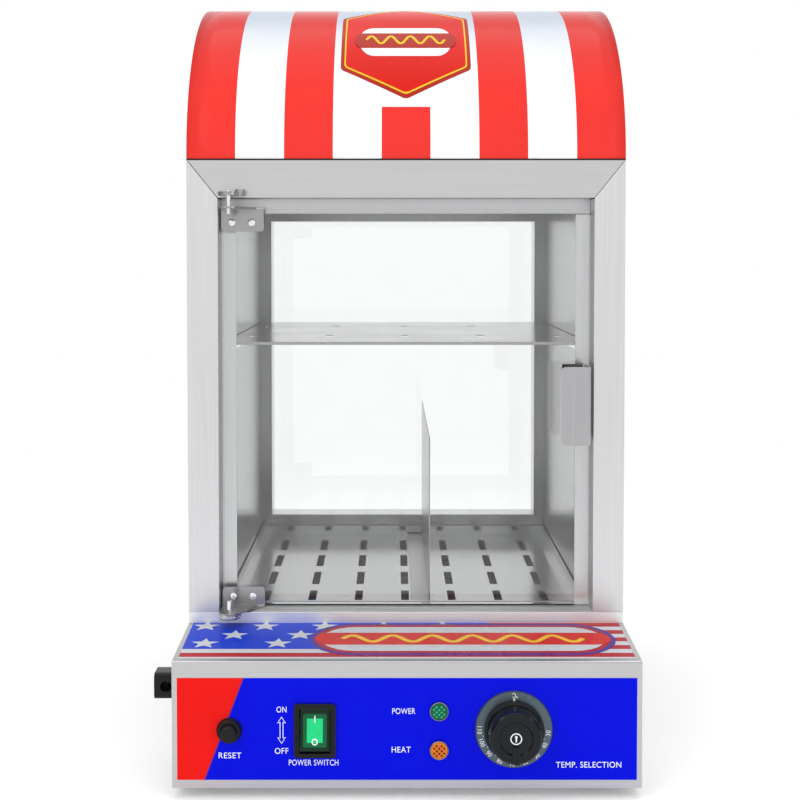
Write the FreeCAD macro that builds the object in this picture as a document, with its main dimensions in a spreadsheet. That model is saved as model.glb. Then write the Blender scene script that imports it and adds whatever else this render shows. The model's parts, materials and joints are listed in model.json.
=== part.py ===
import FreeCAD, Part
import os
import re
import Sketcher

# Counter-top hot dog steamer: a glazed cabinet with a barrel roof over a control base.
# X is the width (left is -X), Y runs from the front (-Y) to the back, Z is up.
# The origin is at the middle of the footprint, on the plane that the feet stand on.

SIZES = {
    # overall sizes
    "cabinet_width": 360,
    "cabinet_depth": 378,
    "base_projection": 87,
    "base_height": 98,
    "ledge_rise": 5,
    "foot_height": 8,
    "sill_height": 9.5,
    "opening_height": 342.5,
    "rail_height": 31.6,
    "roof_rise": 150,
    # sheet metal
    "sheet_gauge": 1.2,
    "liner_gauge": 0.8,
    "tray_gauge": 1,
    "film_gauge": 0.4,
    "post_width": 25.5,
    "mitre_gap": 0.5,
    "liner_inset": 2,
    "rear_space": 35,
    "stile_width": 11,
    "window_sill": 13.5,
    "window_head": 12,
    "roof_end_inset": 3,
    "rest_gap": 0.3,
    # door, its stop and its hinges
    "glass_gauge": 5,
    "door_setback": 14,
    "door_gap": 2.2,
    "door_lift": 3.5,
    "door_head_gap": 9.5,
    "stop_gap": 4,
    "stop_width": 12.5,
    "pin_radius": 2.15,
    "pin_play": 0.05,
    "washer_gap": 2.5,
    "pin_inset": 10,
    "leaf_gauge": 1.5,
    "leaf_width": 35.5,
    "upper_leaf_height": 20,
    "lower_leaf_height": 16,
    "leaf_round": 3,
    "hinge_screw_pitch": 16.5,
    "hinge_screw_radius": 1.5,
    "screw_head_radius": 3.3,
    "screw_head_height": 1.8,
    "washer_radius": 8.5,
    "washer_gauge": 1,
    "bracket_gauge": 1.5,
    "pin_reach": 9,
    "upper_bracket_gauge": 3,
    # door handle
    "handle_width": 25,
    "handle_height": 64,
    "handle_depth": 33,
    "handle_level": 141,
    "handle_gauge": 1.4,
    "handle_round": 5,
    "handle_bend": 1.6,
    "handle_foot": 20,
    "handle_screw_inset": 12,
    "handle_screw_pitch": 32,
    # what stands in the cabinet
    "shelf_level": 222.5,
    "shelf_lip": 2.5,
    "support_width": 12,
    "support_height": 10,
    "side_play": 1.2,
    "end_play": 1.5,
    "tray_wall": 10,
    "tray_flange": 3.3,
    "slot_length": 47,
    "slot_width": 6.7,
    "slot_pitch": 41,
    "slot_row_pitch": 70.5,
    "slot_margin": 10,
    "shelf_slot_length": 22,
    "shelf_slot_width": 6,
    "shelf_slot_pitch": 68,
    "shelf_row_pitch": 150,
    "divider_x": 20,
    "divider_height": 146,
    "divider_end_gap": 11.6,
    "divider_foot": 15,
    # water pan and heater
    "pan_border": 12,
    "pan_side_border": 14,
    "pan_depth": 44,
    "pan_flange": 8,
    "heater_radius": 4,
    "heater_half_spread": 70,
    "heater_clearance": 10,
    "heater_margin": 30,
    "heater_bend": 30,
    "heater_tail": 22,
    "probe_rise": 24,
    "probe_radius": 3,
    "probe_lead_radius": 1.5,
    # control panel
    "overlay_border": 4,
    "overlay_low": 6.6,
    "overlay_top_border": 12.7,
    "control_level": 45,
    "switch_x": -70.5,
    "switch_width": 32,
    "switch_height": 41.5,
    "bezel_gauge": 2.4,
    "switch_body_depth": 26,
    "rocker_width": 23,
    "rocker_half_height": 16,
    "rocker_tilt": 10,
    "rocker_side_gap": 0.5,
    "trunnion_radius": 1.3,
    "reset_x": -136,
    "reset_radius": 10,
    "reset_button_radius": 6,
    "lamp_x": 24.5,
    "lamp_spread": 30,
    "lamp_radius": 7.25,
    "dial_x": 81.6,
    "dial_level": 46,
    "skirt_radius": 30,
    "skirt_gauge": 2.2,
    "knob_radius": 23,
    "knob_length": 20,
    "shaft_radius": 3,
    # base fittings
    "foot_radius": 12.5,
    "foot_inset": 34,
    "gland_back": 58,
    "gland_level": 63,
    "gland_width": 21,
    "gland_reach": 22,
    "gland_flange": 3,
    "gland_round": 4,
    "gland_stem_radius": 4.95,
    "cord_radius": 4.6,
    "terminal_x": -130,
    "terminal_y": 48,
    "terminal_pitch": 12,
    "terminal_height": 18,
    "vent_slot_length": 60,
    "vent_slot_width": 5,
    "vent_pitch": 14,
    "vent_column_pitch": 90,
    "base_round": 2,
}

# Places worked out from the sizes. Each one may use the sizes and the places above it.
PLACES = {
    "half": "cabinet_width / 2",
    "base_front": "-(cabinet_depth + base_projection) / 2",
    "front": "base_front + base_projection",
    "back": "front + cabinet_depth",
    "base_low": "foot_height",
    "ledge_edge": "base_low + base_height",
    "base_top": "ledge_edge + ledge_rise",
    "sill_top": "base_top + sill_height",
    "opening_top": "sill_top + opening_height",
    "cabinet_top": "opening_top + rail_height",
    "opening_half": "half - post_width",
    "liner_half": "opening_half - liner_inset",
    "glass_front": "front + door_setback",
    "glass_back": "glass_front + glass_gauge",
    "stop_front": "glass_back + stop_gap",
    "stop_back": "stop_front + sheet_gauge",
    "liner_back": "back - rear_space",
    "window_half": "liner_half - stile_width",
    "window_low": "sill_top + window_sill",
    "window_high": "opening_top - window_head",
    "glass_half": "opening_half - door_gap",
    "glass_low": "sill_top + door_lift",
    "glass_high": "opening_top - door_head_gap",
    "pin_x": "-(opening_half - pin_inset)",
    "pin_y": "front - washer_radius - washer_gap",
    "tab_radius": "pin_inset - 1",
    "leaf_left": "pin_x - tab_radius",
    "lower_tab": "glass_low - 0.2 - leaf_gauge",
    "upper_tab": "glass_high + 0.4",
    "pan_top": "base_top + tray_gauge",
    "pan_half": "liner_half - pan_side_border",
    "pan_front": "stop_back + pan_border",
    "pan_back": "liner_back - pan_border",
    "pan_floor": "base_top - pan_depth",
    "tray_low": "pan_top + rest_gap",
    "tray_floor": "tray_low + tray_gauge",
    "tray_half": "liner_half - side_play",
    "tray_front": "stop_back + end_play",
    "tray_back": "liner_back - end_play",
    "tray_middle": "(tray_front + tray_back) / 2",
    "well_half": "tray_half - tray_flange - tray_gauge",
    "well_front": "tray_front + tray_flange + tray_gauge",
    "well_back": "tray_back - tray_flange - tray_gauge",
    "shelf_top": "sill_top + shelf_level",
    "shelf_low": "shelf_top - tray_gauge",
    "overlay_half": "half - overlay_border",
    "film_front": "base_front - film_gauge",
    "control_z": "base_low + control_level",
    "dial_z": "base_low + dial_level",
    "rocker_half": "rocker_width / 2",
    "switch_cavity_half": "rocker_half + rocker_side_gap",
    "rocker_pivot_y": "base_front + 3",
    "rocker_sweep": "rocker_half_height + 1.4",
    "roof_y": "front + cabinet_depth / 2",
    "gland_y": "base_front + gland_back",
    "gland_z": "base_low + gland_level",
    "gland_x": "-(half + gland_flange + (gland_reach - gland_flange) / 2)",
    "heater_level": "pan_floor + heater_clearance + heater_radius",
    "heater_start": "pan_front - heater_tail",
    "heater_bend_y": "pan_back - heater_margin - heater_bend",
    "probe_level": "pan_floor + probe_rise",
    "knob_back": "film_front - rest_gap - skirt_gauge",
    "washer_low": "lower_tab - rest_gap - 2 * washer_gauge",
    "upper_bracket_low": "opening_top + 1.5",
    "handle_right": "glass_half - 2.5",
    "handle_low": "sill_top + handle_level",
    "handle_grip": "glass_front - handle_depth",
    "handle_screw_x": "handle_right - handle_screw_inset",
    "terminal_low": "base_low + sheet_gauge",
}

WORD = re.compile(r"[a-z_]+")

doc = FreeCAD.newDocument("hot_dog_steamer")
sheet = doc.addObject("Spreadsheet::Sheet", "dims")
for row, (alias, number) in enumerate(SIZES.items(), start=1):
    sheet.set(f"A{row}", alias)
    sheet.set(f"B{row}", str(number))
    sheet.setAlias(f"B{row}", alias)
doc.recompute()

nodes = []


def full(text):
    """Spells an expression out in the cells of the sheet."""

    def spell(match):
        word = match.group(0)
        if word in PLACES:
            return f"({full(PLACES[word])})"
        return f"dims.{word}" if word in SIZES else word

    return WORD.sub(spell, str(text))


def number(text):
    return float(sheet.evalExpression(full(text)))


def bind(item, **expressions):
    for prop, text in expressions.items():
        item.setExpression(prop, full(text))
    return item


def place(item, x, y, z, rotation=None):
    if rotation is not None:
        item.Placement = FreeCAD.Placement(FreeCAD.Vector(), rotation)
    for axis, text in zip("xyz", (x, y, z)):
        item.setExpression(f"Placement.Base.{axis}", full(text))
    return item


def node(item):
    nodes.append(item)
    return item


def block(name, x, y, z):
    """A box between pairs of low and high places."""
    box = doc.addObject("Part::Box", name)
    bind(
        box,
        Length=f"({x[1]}) - ({x[0]})",
        Width=f"({y[1]}) - ({y[0]})",
        Height=f"({z[1]}) - ({z[0]})",
    )
    return place(box, x[0], y[0], z[0])


TURNS = {
    "x": FreeCAD.Rotation(FreeCAD.Vector(0, 1, 0), 90),
    "y": FreeCAD.Rotation(FreeCAD.Vector(1, 0, 0), -90),
    "z": FreeCAD.Rotation(),
}


def rod(name, along, start, length, radius):
    """A cylinder that starts at a point and runs the positive way along an axis."""
    cylinder = doc.addObject("Part::Cylinder", name)
    bind(cylinder, Radius=radius, Height=length)
    return place(cylinder, *start, TURNS[along])


def cone(name, along, start, length, radius, end_radius):
    taper = doc.addObject("Part::Cone", name)
    bind(taper, Radius1=radius, Radius2=end_radius, Height=length)
    return place(taper, *start, TURNS[along])


def fuse(name, *items):
    joined = doc.addObject("Part::MultiFuse", name)
    joined.Shapes = list(items)
    joined.Refine = True
    return joined


def cut(name, base, *tools):
    rest = doc.addObject("Part::Cut", name)
    rest.Base = base
    rest.Tool = tools[0] if len(tools) == 1 else fuse(f"{name}_tools", *tools)
    return rest


def pierced(name, blank, holes):
    """A piece with round holes, each a tuple of axis, start, length and radius."""
    tools = [rod(f"{name}_hole_{i}", *hole) for i, hole in enumerate(holes)]
    return cut(name, blank, *tools)


def screw_holes(screws, start_y, gauge):
    return [("y", (x, f"{start_y} - 1", z), f"{gauge} + 2", "hinge_screw_radius") for x, z in screws]


def common(name, first, second):
    shared = doc.addObject("Part::Common", name)
    shared.Base = first
    shared.Tool = second
    return shared


def group(name, items):
    pieces = doc.addObject("Part::Compound", name)
    pieces.Links = list(items)
    return pieces


def plane(body, role):
    return [part for part in body.Origin.OriginFeatures if part.Role == role][0]


def outline(body, name, role, points, height="0"):
    """A closed sketch whose corners sit at pairs of expressions, on a plane or above it."""
    sketch = body.newObject("Sketcher::SketchObject", name)
    sketch.AttachmentSupport = (plane(body, role), [""])
    sketch.MapMode = "FlatFace"
    sketch.setExpression("AttachmentOffset.Base.z", full(height))
    corners = [FreeCAD.Vector(number(u), number(v), 0) for u, v in points]
    for start, end in zip(corners, corners[1:] + corners[:1]):
        sketch.addGeometry(Part.LineSegment(start, end), False)
    for edge, (corner, (u, v)) in enumerate(zip(corners, points)):
        last = (edge - 1) % len(corners)
        sketch.addConstraint(Sketcher.Constraint("Coincident", last, 2, edge, 1))
        for kind, value, text in (("DistanceX", corner.x, u), ("DistanceY", corner.y, v)):
            index = sketch.addConstraint(Sketcher.Constraint(kind, -1, 1, edge, 1, value))
            sketch.setExpression(f"Constraints[{index}]", full(text))
    return sketch


def circle(body, name, role, u, v, radius, height="0"):
    sketch = body.newObject("Sketcher::SketchObject", name)
    sketch.AttachmentSupport = (plane(body, role), [""])
    sketch.MapMode = "FlatFace"
    sketch.setExpression("AttachmentOffset.Base.z", full(height))
    centre = FreeCAD.Vector(number(u), number(v), 0)
    sketch.addGeometry(Part.Circle(centre, FreeCAD.Vector(0, 0, 1), number(radius)), False)
    for constraint, text in (
        (Sketcher.Constraint("DistanceX", -1, 1, 0, 3, centre.x), u),
        (Sketcher.Constraint("DistanceY", -1, 1, 0, 3, centre.y), v),
        (Sketcher.Constraint("Radius", 0, number(radius)), radius),
    ):
        index = sketch.addConstraint(constraint)
        sketch.setExpression(f"Constraints[{index}]", full(text))
    return sketch


def pad(body, sketch, length, midplane=False, reversed_way=False):
    feature = body.newObject("PartDesign::Pad", f"{sketch.Name}_pad")
    feature.Profile = sketch
    feature.Midplane = midplane
    feature.Reversed = reversed_way
    bind(feature, Length=length)
    doc.recompute()
    return feature


def pocket(body, sketch, length, midplane=True):
    """A cut centred on its sketch, which has to take some of the body away."""
    before = body.Shape.Volume
    feature = body.newObject("PartDesign::Pocket", f"{sketch.Name}_pocket")
    feature.Profile = sketch
    feature.Midplane = midplane
    bind(feature, Length=length)
    doc.recompute()
    if body.Shape.Volume >= before:
        raise RuntimeError(f"{feature.Name} cuts nothing")
    return feature


def slab(name, role, points, low, high):
    """A Body padded from a polygon, between two heights over its plane."""
    body = doc.addObject("PartDesign::Body", name)
    pad(body, outline(body, f"{name}_outline", role, points, low), f"({high}) - ({low})")
    return body


def rectangle(x, y):
    return [(x[0], y[0]), (x[1], y[0]), (x[1], y[1]), (x[0], y[1])]


def round_edges(body, radius, wanted):
    """Fillets the edges of a body's last feature that a test picks out."""
    tip = body.Tip
    names = [f"Edge{i}" for i, edge in enumerate(tip.Shape.Edges, start=1) if wanted(edge)]
    feature = body.newObject("PartDesign::Fillet", f"{tip.Name}_round")
    feature.Base = (tip, names)
    bind(feature, Radius=radius)
    doc.recompute()
    return feature


def runs_along(edge, axis):
    ends = edge.Vertexes
    if len(ends) != 2 or not isinstance(edge.Curve, Part.Line):
        return False
    across = ends[1].Point - ends[0].Point
    across.normalize()
    return abs(getattr(across, axis)) > 0.999


def around(middle, reach):
    return (f"{middle} - ({reach})", f"{middle} + ({reach})")


def mirrored(span, side):
    """A span of places on the right, or the same span on the left."""
    return span if side > 0 else (f"-({span[1]})", f"-({span[0]})")


SIDES = {"left": -1, "right": 1}
WIDTH = ("-(half)", "half")
INSIDE_WIDTH = ("-(half - sheet_gauge)", "half - sheet_gauge")
LINER_WIDTH = ("-(liner_half)", "liner_half")


def make_base_housing():
    body = doc.addObject("PartDesign::Body", "base_housing")
    side = [
        ("base_front", "base_low"),
        ("base_front", "ledge_edge"),
        ("front", "base_top"),
        ("back", "base_top"),
        ("back", "base_low"),
    ]
    hollow = [
        ("base_front + sheet_gauge", "base_low - 1"),
        ("base_front + sheet_gauge", "ledge_edge - sheet_gauge"),
        ("front + sheet_gauge", "base_top - sheet_gauge"),
        ("back - sheet_gauge", "base_top - sheet_gauge"),
        ("back - sheet_gauge", "base_low - 1"),
    ]
    pad(body, outline(body, "housing_side", "YZ_Plane", side), "cabinet_width", midplane=True)
    round_edges(body, "base_round", lambda edge: runs_along(edge, "x") and is_front_bend(edge))
    inside = outline(body, "housing_hollow", "YZ_Plane", hollow)
    pocket(body, inside, "cabinet_width - 2 * sheet_gauge")
    well = rectangle(("-(pan_half)", "pan_half"), ("pan_front", "pan_back"))
    pocket(body, outline(body, "pan_well", "XY_Plane", well, "base_top"), "6 * sheet_gauge")
    cut_control_holes(body, "panel")
    gland_radius = "gland_stem_radius + pin_play"
    gland_hole = circle(body, "gland_hole", "YZ_Plane", "gland_y", "gland_z", gland_radius, "-(half)")
    pocket(body, gland_hole, "6 * sheet_gauge")
    return node(body)


def is_front_bend(edge):
    point = edge.Vertexes[0].Point
    return abs(point.y - number("base_front")) < 0.01 and point.z > number("base_low") + 1


def cut_control_holes(body, name):
    """The same holes go through the base front and the film on it."""
    opening = rectangle(
        around("switch_x", "switch_width / 2 - 2"), around("control_z", "switch_height / 2 - 2")
    )
    window = outline(body, f"{name}_switch_hole", "XZ_Plane", opening, "-(base_front)")
    pocket(body, window, "6 * sheet_gauge")
    for piece, x, z, radius in (
        ("reset", "reset_x", "control_z", "reset_button_radius + 1.5"),
        ("dial", "dial_x", "dial_z", "shaft_radius + 1"),
        ("power_lamp", "lamp_x", "control_z + lamp_spread / 2", "lamp_radius - 1.5"),
        ("heat_lamp", "lamp_x", "control_z - lamp_spread / 2", "lamp_radius - 1.5"),
    ):
        hole = circle(body, f"{name}_{piece}_hole", "XZ_Plane", x, z, radius, "-(base_front)")
        pocket(body, hole, "6 * sheet_gauge")


def foot_places():
    for x in ("-(half - foot_inset)", "half - foot_inset"):
        for y in ("base_front + foot_inset", "back - foot_inset"):
            yield x, y


def make_base_bottom():
    plate = block(
        "bottom_blank",
        INSIDE_WIDTH,
        ("base_front + sheet_gauge", "back - sheet_gauge"),
        ("base_low", "base_low + sheet_gauge"),
    )
    slots = [
        block(
            f"vent_slot_{row}_{column}",
            around(f"{column} * vent_column_pitch", "vent_slot_length / 2"),
            around(f"{row} * vent_pitch", "vent_slot_width / 2"),
            ("base_low - 1", "base_low + sheet_gauge + 1"),
        )
        for row in range(-2, 3)
        for column in (-1, 0, 1)
    ]
    screw_holes = [
        rod(f"foot_hole_{i}", "z", (x, y, "base_low - 1"), "sheet_gauge + 2", "2")
        for i, (x, y) in enumerate(foot_places())
    ]
    node(cut("base_bottom_plate", plate, *slots, *screw_holes))
    feet = []
    screws = []
    for i, (x, y) in enumerate(foot_places()):
        puck = cone(f"foot_{i}", "z", (x, y, "0"), "foot_height", "foot_radius - 2", "foot_radius")
        recess = rod(f"foot_recess_{i}", "z", (x, y, "-1"), "foot_height / 2 + 1", "4.5")
        bore = rod(f"foot_bore_{i}", "z", (x, y, "0"), "foot_height + 1", "2")
        feet.append(cut(f"foot_bored_{i}", puck, recess, bore))
        head = rod(f"foot_screw_head_{i}", "z", (x, y, "foot_height / 2 - 2"), "2", "4")
        shank = rod(f"foot_screw_shank_{i}", "z", (x, y, "foot_height / 2"), "foot_height / 2 + 6", "2")
        screws.append(fuse(f"foot_screw_{i}", head, shank))
    node(group("rubber_feet", feet))
    node(group("foot_screws", screws))


def make_overlays():
    body = doc.addObject("PartDesign::Body", "control_overlay")
    face = rectangle(
        ("-(overlay_half)", "overlay_half"),
        ("base_low + overlay_low", "ledge_edge - overlay_top_border"),
    )
    film = outline(body, "control_film", "XZ_Plane", face, "-(base_front)")
    pad(body, film, "film_gauge")
    cut_control_holes(body, "film")
    node(body)
    # the ledge film follows the slope of the ledge, set back from its front bend
    ledge = doc.addObject("PartDesign::Body", "ledge_overlay")
    slope = "ledge_rise / base_projection"
    section = [
        ("base_front + 6", f"ledge_edge + 6 * {slope} + 0.02"),
        ("front - 0.2", f"base_top - 0.2 * {slope} + 0.02"),
        ("front - 0.2", f"base_top - 0.2 * {slope} + film_gauge"),
        ("base_front + 6", f"ledge_edge + 6 * {slope} + film_gauge"),
    ]
    pad(ledge, outline(ledge, "ledge_film", "YZ_Plane", section), "2 * overlay_half", midplane=True)
    node(ledge)


def make_sill():
    face = block("sill_face", WIDTH, ("front", "front + sheet_gauge"), ("base_top", "sill_top"))
    top = block(
        "sill_tread",
        INSIDE_WIDTH,
        ("front + sheet_gauge", "stop_back"),
        ("sill_top - sheet_gauge", "sill_top"),
    )
    rear = block(
        "sill_return",
        INSIDE_WIDTH,
        ("stop_front", "stop_back"),
        ("base_top", "sill_top - sheet_gauge"),
    )
    node(fuse("sill_strip", face, top, rear))


def make_front_posts():
    for name, side in SIDES.items():
        corners = [
            ("opening_half", "sill_top"),
            ("half", "sill_top"),
            ("half", "cabinet_top - mitre_gap"),
            ("opening_half", "opening_top - mitre_gap"),
        ]
        if side < 0:
            corners = [(f"-({u})", v) for u, v in reversed(corners)]
        face = slab(f"post_face_{name}", "XZ_Plane", corners, "-(front + sheet_gauge)", "-(front)")
        jamb = block(
            f"post_jamb_{name}",
            mirrored(("opening_half", "opening_half + sheet_gauge"), side),
            ("front + sheet_gauge", "stop_back"),
            ("sill_top", "opening_top - mitre_gap"),
        )
        stop = block(
            f"post_stop_{name}",
            mirrored(("opening_half - stop_width", "opening_half"), side),
            ("stop_front", "stop_back"),
            ("sill_top", "opening_top - stop_width - mitre_gap"),
        )
        node(fuse(f"front_post_{name}", face, jamb, stop))


def make_top_rail():
    corners = [
        ("-(opening_half)", "opening_top"),
        ("opening_half", "opening_top"),
        ("half", "cabinet_top"),
        ("-(half)", "cabinet_top"),
    ]
    face = slab("rail_face", "XZ_Plane", corners, "-(front + sheet_gauge)", "-(front)")
    soffit = block(
        "rail_soffit",
        ("-(opening_half)", "opening_half"),
        ("front + sheet_gauge", "stop_back"),
        ("opening_top", "opening_top + sheet_gauge"),
    )
    stop = block(
        "rail_stop",
        ("-(opening_half)", "opening_half"),
        ("stop_front", "stop_back"),
        ("opening_top - stop_width", "opening_top"),
    )
    node(fuse("top_rail", face, soffit, stop))


def make_walls():
    rivets = []
    for name, side in SIDES.items():
        node(
            block(
                f"side_panel_{name}",
                mirrored(("half - sheet_gauge", "half"), side),
                ("front + sheet_gauge", "back - sheet_gauge"),
                ("base_top", "cabinet_top - sheet_gauge"),
            )
        )
        node(
            block(
                f"inner_wall_{name}",
                mirrored(("liner_half", "liner_half + liner_gauge"), side),
                ("stop_back", "liner_back + sheet_gauge"),
                ("base_top", "opening_top"),
            )
        )
        for i, (along, up) in enumerate(((14, 26), (22, 6), (34, 20))):
            span = mirrored(("liner_half - 0.7", "liner_half"), side)
            rivets.append(
                rod(
                    f"wall_rivet_{name}_{i}",
                    "x",
                    (span[0], f"stop_back + {along}", f"sill_top + {up}"),
                    "0.7",
                    "1.9",
                )
            )
    node(group("wall_rivets", rivets))
    node(
        block(
            "ceiling_panel",
            LINER_WIDTH,
            ("stop_back", "liner_back"),
            ("opening_top", "opening_top + liner_gauge"),
        )
    )
    node(
        block(
            "cabinet_top_plate",
            INSIDE_WIDTH,
            ("front + sheet_gauge", "back - sheet_gauge"),
            ("cabinet_top - sheet_gauge", "cabinet_top"),
        )
    )


def make_rear():
    window = {"x": ("-(window_half)", "window_half"), "z": ("window_low", "window_high")}
    whole = {"x": LINER_WIDTH, "z": ("base_top", "opening_top")}
    frame_depth = ("liner_back", "liner_back + sheet_gauge")
    blank = block("back_frame_blank", whole["x"], frame_depth, whole["z"])
    light = block(
        "back_frame_light", window["x"], ("liner_back - 1", "liner_back + 3"), window["z"]
    )
    node(cut("back_frame", blank, light))
    pane_x = ("-(window_half + 6)", "window_half + 6")
    pane_z = ("window_low - 6", "window_high + 6")
    pane_y = ("liner_back + sheet_gauge", "liner_back + sheet_gauge + 4")
    node(block("rear_glass", pane_x, pane_y, pane_z))
    seal_blank = block(
        "seal_blank",
        ("-(window_half + 9)", "window_half + 9"),
        pane_y,
        ("window_low - 9", "window_high + 9"),
    )
    seal_hole = block("seal_hole", pane_x, ("liner_back", "liner_back + 9"), pane_z)
    node(cut("rear_glass_seal", seal_blank, seal_hole))
    reveal_y = (pane_y[1], "back - sheet_gauge")
    reveal_blank = block(
        "reveal_blank",
        ("-(window_half + sheet_gauge)", "window_half + sheet_gauge"),
        reveal_y,
        ("window_low - sheet_gauge", "window_high + sheet_gauge"),
    )
    reveal_hole = block("reveal_hole", window["x"], ("liner_back", "back"), window["z"])
    node(cut("rear_reveal", reveal_blank, reveal_hole))
    panel = block("rear_blank", WIDTH, ("back - sheet_gauge", "back"), ("base_top", "cabinet_top"))
    panel_hole = block("rear_light", window["x"], ("back - 5", "back + 5"), window["z"])
    node(cut("rear_panel", panel, panel_hole))


def barrel(name, inset, x):
    """An elliptical bar as wide as the cabinet is deep, less an inset all round."""
    ellipse = doc.addObject("Part::Ellipse", f"{name}_ellipse")
    bind(ellipse, MajorRadius=f"cabinet_depth / 2 - ({inset})", MinorRadius=f"roof_rise - ({inset})")
    quarter = FreeCAD.Rotation(FreeCAD.Vector(1, 1, 1), 120)
    place(ellipse, x[0], "roof_y", "cabinet_top", quarter)
    bar = doc.addObject("Part::Extrusion", name)
    bar.Base = ellipse
    bar.DirMode = "Custom"
    bar.Dir = FreeCAD.Vector(1, 0, 0)
    bar.Solid = True
    bind(bar, LengthFwd=f"({x[1]}) - ({x[0]})")
    return bar


def upper_half(name):
    height = ("cabinet_top", "cabinet_top + 2 * roof_rise")
    return block(name, ("-(half + 1)", "half + 1"), ("front - 1", "back + 1"), height)


def make_roof():
    outer = barrel("roof_outer", "0", WIDTH)
    inner = barrel("roof_inner", "sheet_gauge", ("-(half + 1)", "half + 1"))
    node(common("roof_cover", cut("roof_skin", outer, inner), upper_half("roof_space")))
    for name, side in SIDES.items():
        span = mirrored(("half - roof_end_inset - sheet_gauge", "half - roof_end_inset"), side)
        end = barrel(f"roof_end_bar_{name}", "sheet_gauge", span)
        node(common(f"roof_end_{name}", end, upper_half(f"roof_end_space_{name}")))


def make_water_pan():
    flange = block(
        "pan_flange_blank",
        ("-(pan_half + pan_flange)", "pan_half + pan_flange"),
        ("pan_front - pan_flange", "pan_back + pan_flange"),
        ("base_top", "pan_top"),
    )
    outer = block(
        "pan_outer",
        ("-(pan_half - rest_gap)", "pan_half - rest_gap"),
        ("pan_front + rest_gap", "pan_back - rest_gap"),
        ("pan_floor", "base_top"),
    )
    inner = block(
        "pan_inner",
        ("-(pan_half - rest_gap - tray_gauge)", "pan_half - rest_gap - tray_gauge"),
        ("pan_front + rest_gap + tray_gauge", "pan_back - rest_gap - tray_gauge"),
        ("pan_floor + tray_gauge", "pan_top + 1"),
    )
    holes = []
    for name, x, level, radius in (
        ("left_leg", "-(heater_half_spread)", "heater_level", "heater_radius"),
        ("right_leg", "heater_half_spread", "heater_level", "heater_radius"),
        ("probe", "0", "probe_level", "probe_lead_radius"),
    ):
        start = (x, "pan_front + rest_gap - 1", level)
        holes.append(rod(f"pan_{name}_hole", "y", start, "tray_gauge + 2", radius))
    node(cut("water_pan", fuse("pan_blank", flange, outer), inner, *holes))


def make_heater():
    """A sheathed loop: two straight legs, two quarter turns and a straight back."""
    pieces = []
    leg = "heater_bend_y - (heater_start)"
    for i, side in enumerate((-1, 1)):
        start = (f"{side} * heater_half_spread", "heater_start", "heater_level")
        pieces.append(rod(f"heater_leg_{i}", "y", start, leg, "heater_radius"))
        turn = doc.addObject("Part::Torus", f"heater_turn_{i}")
        bind(turn, Radius1="heater_bend", Radius2="heater_radius")
        turn.Angle3 = 90
        quarter = FreeCAD.Rotation(FreeCAD.Vector(0, 0, 1), 90 if side < 0 else 0)
        centre_x = f"{side} * (heater_half_spread - heater_bend)"
        place(turn, centre_x, "heater_bend_y", "heater_level", quarter)
        pieces.append(turn)
    start = ("-(heater_half_spread - heater_bend)", "heater_bend_y + heater_bend", "heater_level")
    pieces.append(rod("heater_back", "x", start, "2 * (heater_half_spread - heater_bend)", "heater_radius"))
    node(fuse("heating_element", *pieces))


def make_switch():
    body_x = ("switch_x - switch_width / 2 + 2.3", "switch_x + switch_width / 2 - 2.3")
    body_z = ("control_z - switch_height / 2 + 2.3", "control_z + switch_height / 2 - 2.3")
    bezel = doc.addObject("PartDesign::Body", "switch_bezel")
    face = rectangle(
        ("switch_x - switch_width / 2", "switch_x + switch_width / 2"),
        ("control_z - switch_height / 2", "control_z + switch_height / 2"),
    )
    pad(bezel, outline(bezel, "bezel_face", "XZ_Plane", face, "-(film_front)"), "bezel_gauge")
    round_edges(bezel, "2.5", lambda edge: runs_along(edge, "y"))
    case = block("switch_case", body_x, ("film_front", "film_front + switch_body_depth"), body_z)
    cavity = block(
        "switch_cavity",
        ("switch_x - switch_cavity_half", "switch_x + switch_cavity_half"),
        ("film_front - bezel_gauge - 1", "base_front + 12"),
        ("control_z - rocker_sweep", "control_z + rocker_sweep"),
    )
    trunnion_hole = rod(
        "trunnion_hole",
        "x",
        ("switch_x - switch_cavity_half - 1", "rocker_pivot_y", "control_z"),
        "2 * switch_cavity_half + 2",
        "trunnion_radius + pin_play",
    )
    node(cut("rocker_housing", fuse("switch_blank", bezel, case), cavity, trunnion_hole))
    paddle = doc.addObject("PartDesign::Body", "rocker_paddle")
    section = [
        ("-5.2", "-(rocker_half_height)"),
        ("-3.6", "0"),
        ("-5.2", "rocker_half_height"),
        ("3", "rocker_half_height"),
        ("5", "0"),
        ("3", "-(rocker_half_height)"),
    ]
    pad(paddle, outline(paddle, "rocker_section", "YZ_Plane", section), "rocker_width", midplane=True)
    axle = rod(
        "rocker_axle",
        "x",
        ("-(switch_cavity_half + 0.8)", "0", "0"),
        "2 * switch_cavity_half + 1.6",
        "trunnion_radius",
    )
    rocker = fuse("rocker", paddle, axle)
    top_in = FreeCAD.Rotation(FreeCAD.Vector(-1, 0, 0), 1)
    place(rocker, "switch_x", "rocker_pivot_y", "control_z", top_in)
    rocker.setExpression("Placement.Rotation.Angle", full("rocker_tilt * 1 deg"))
    node(rocker)


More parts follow.
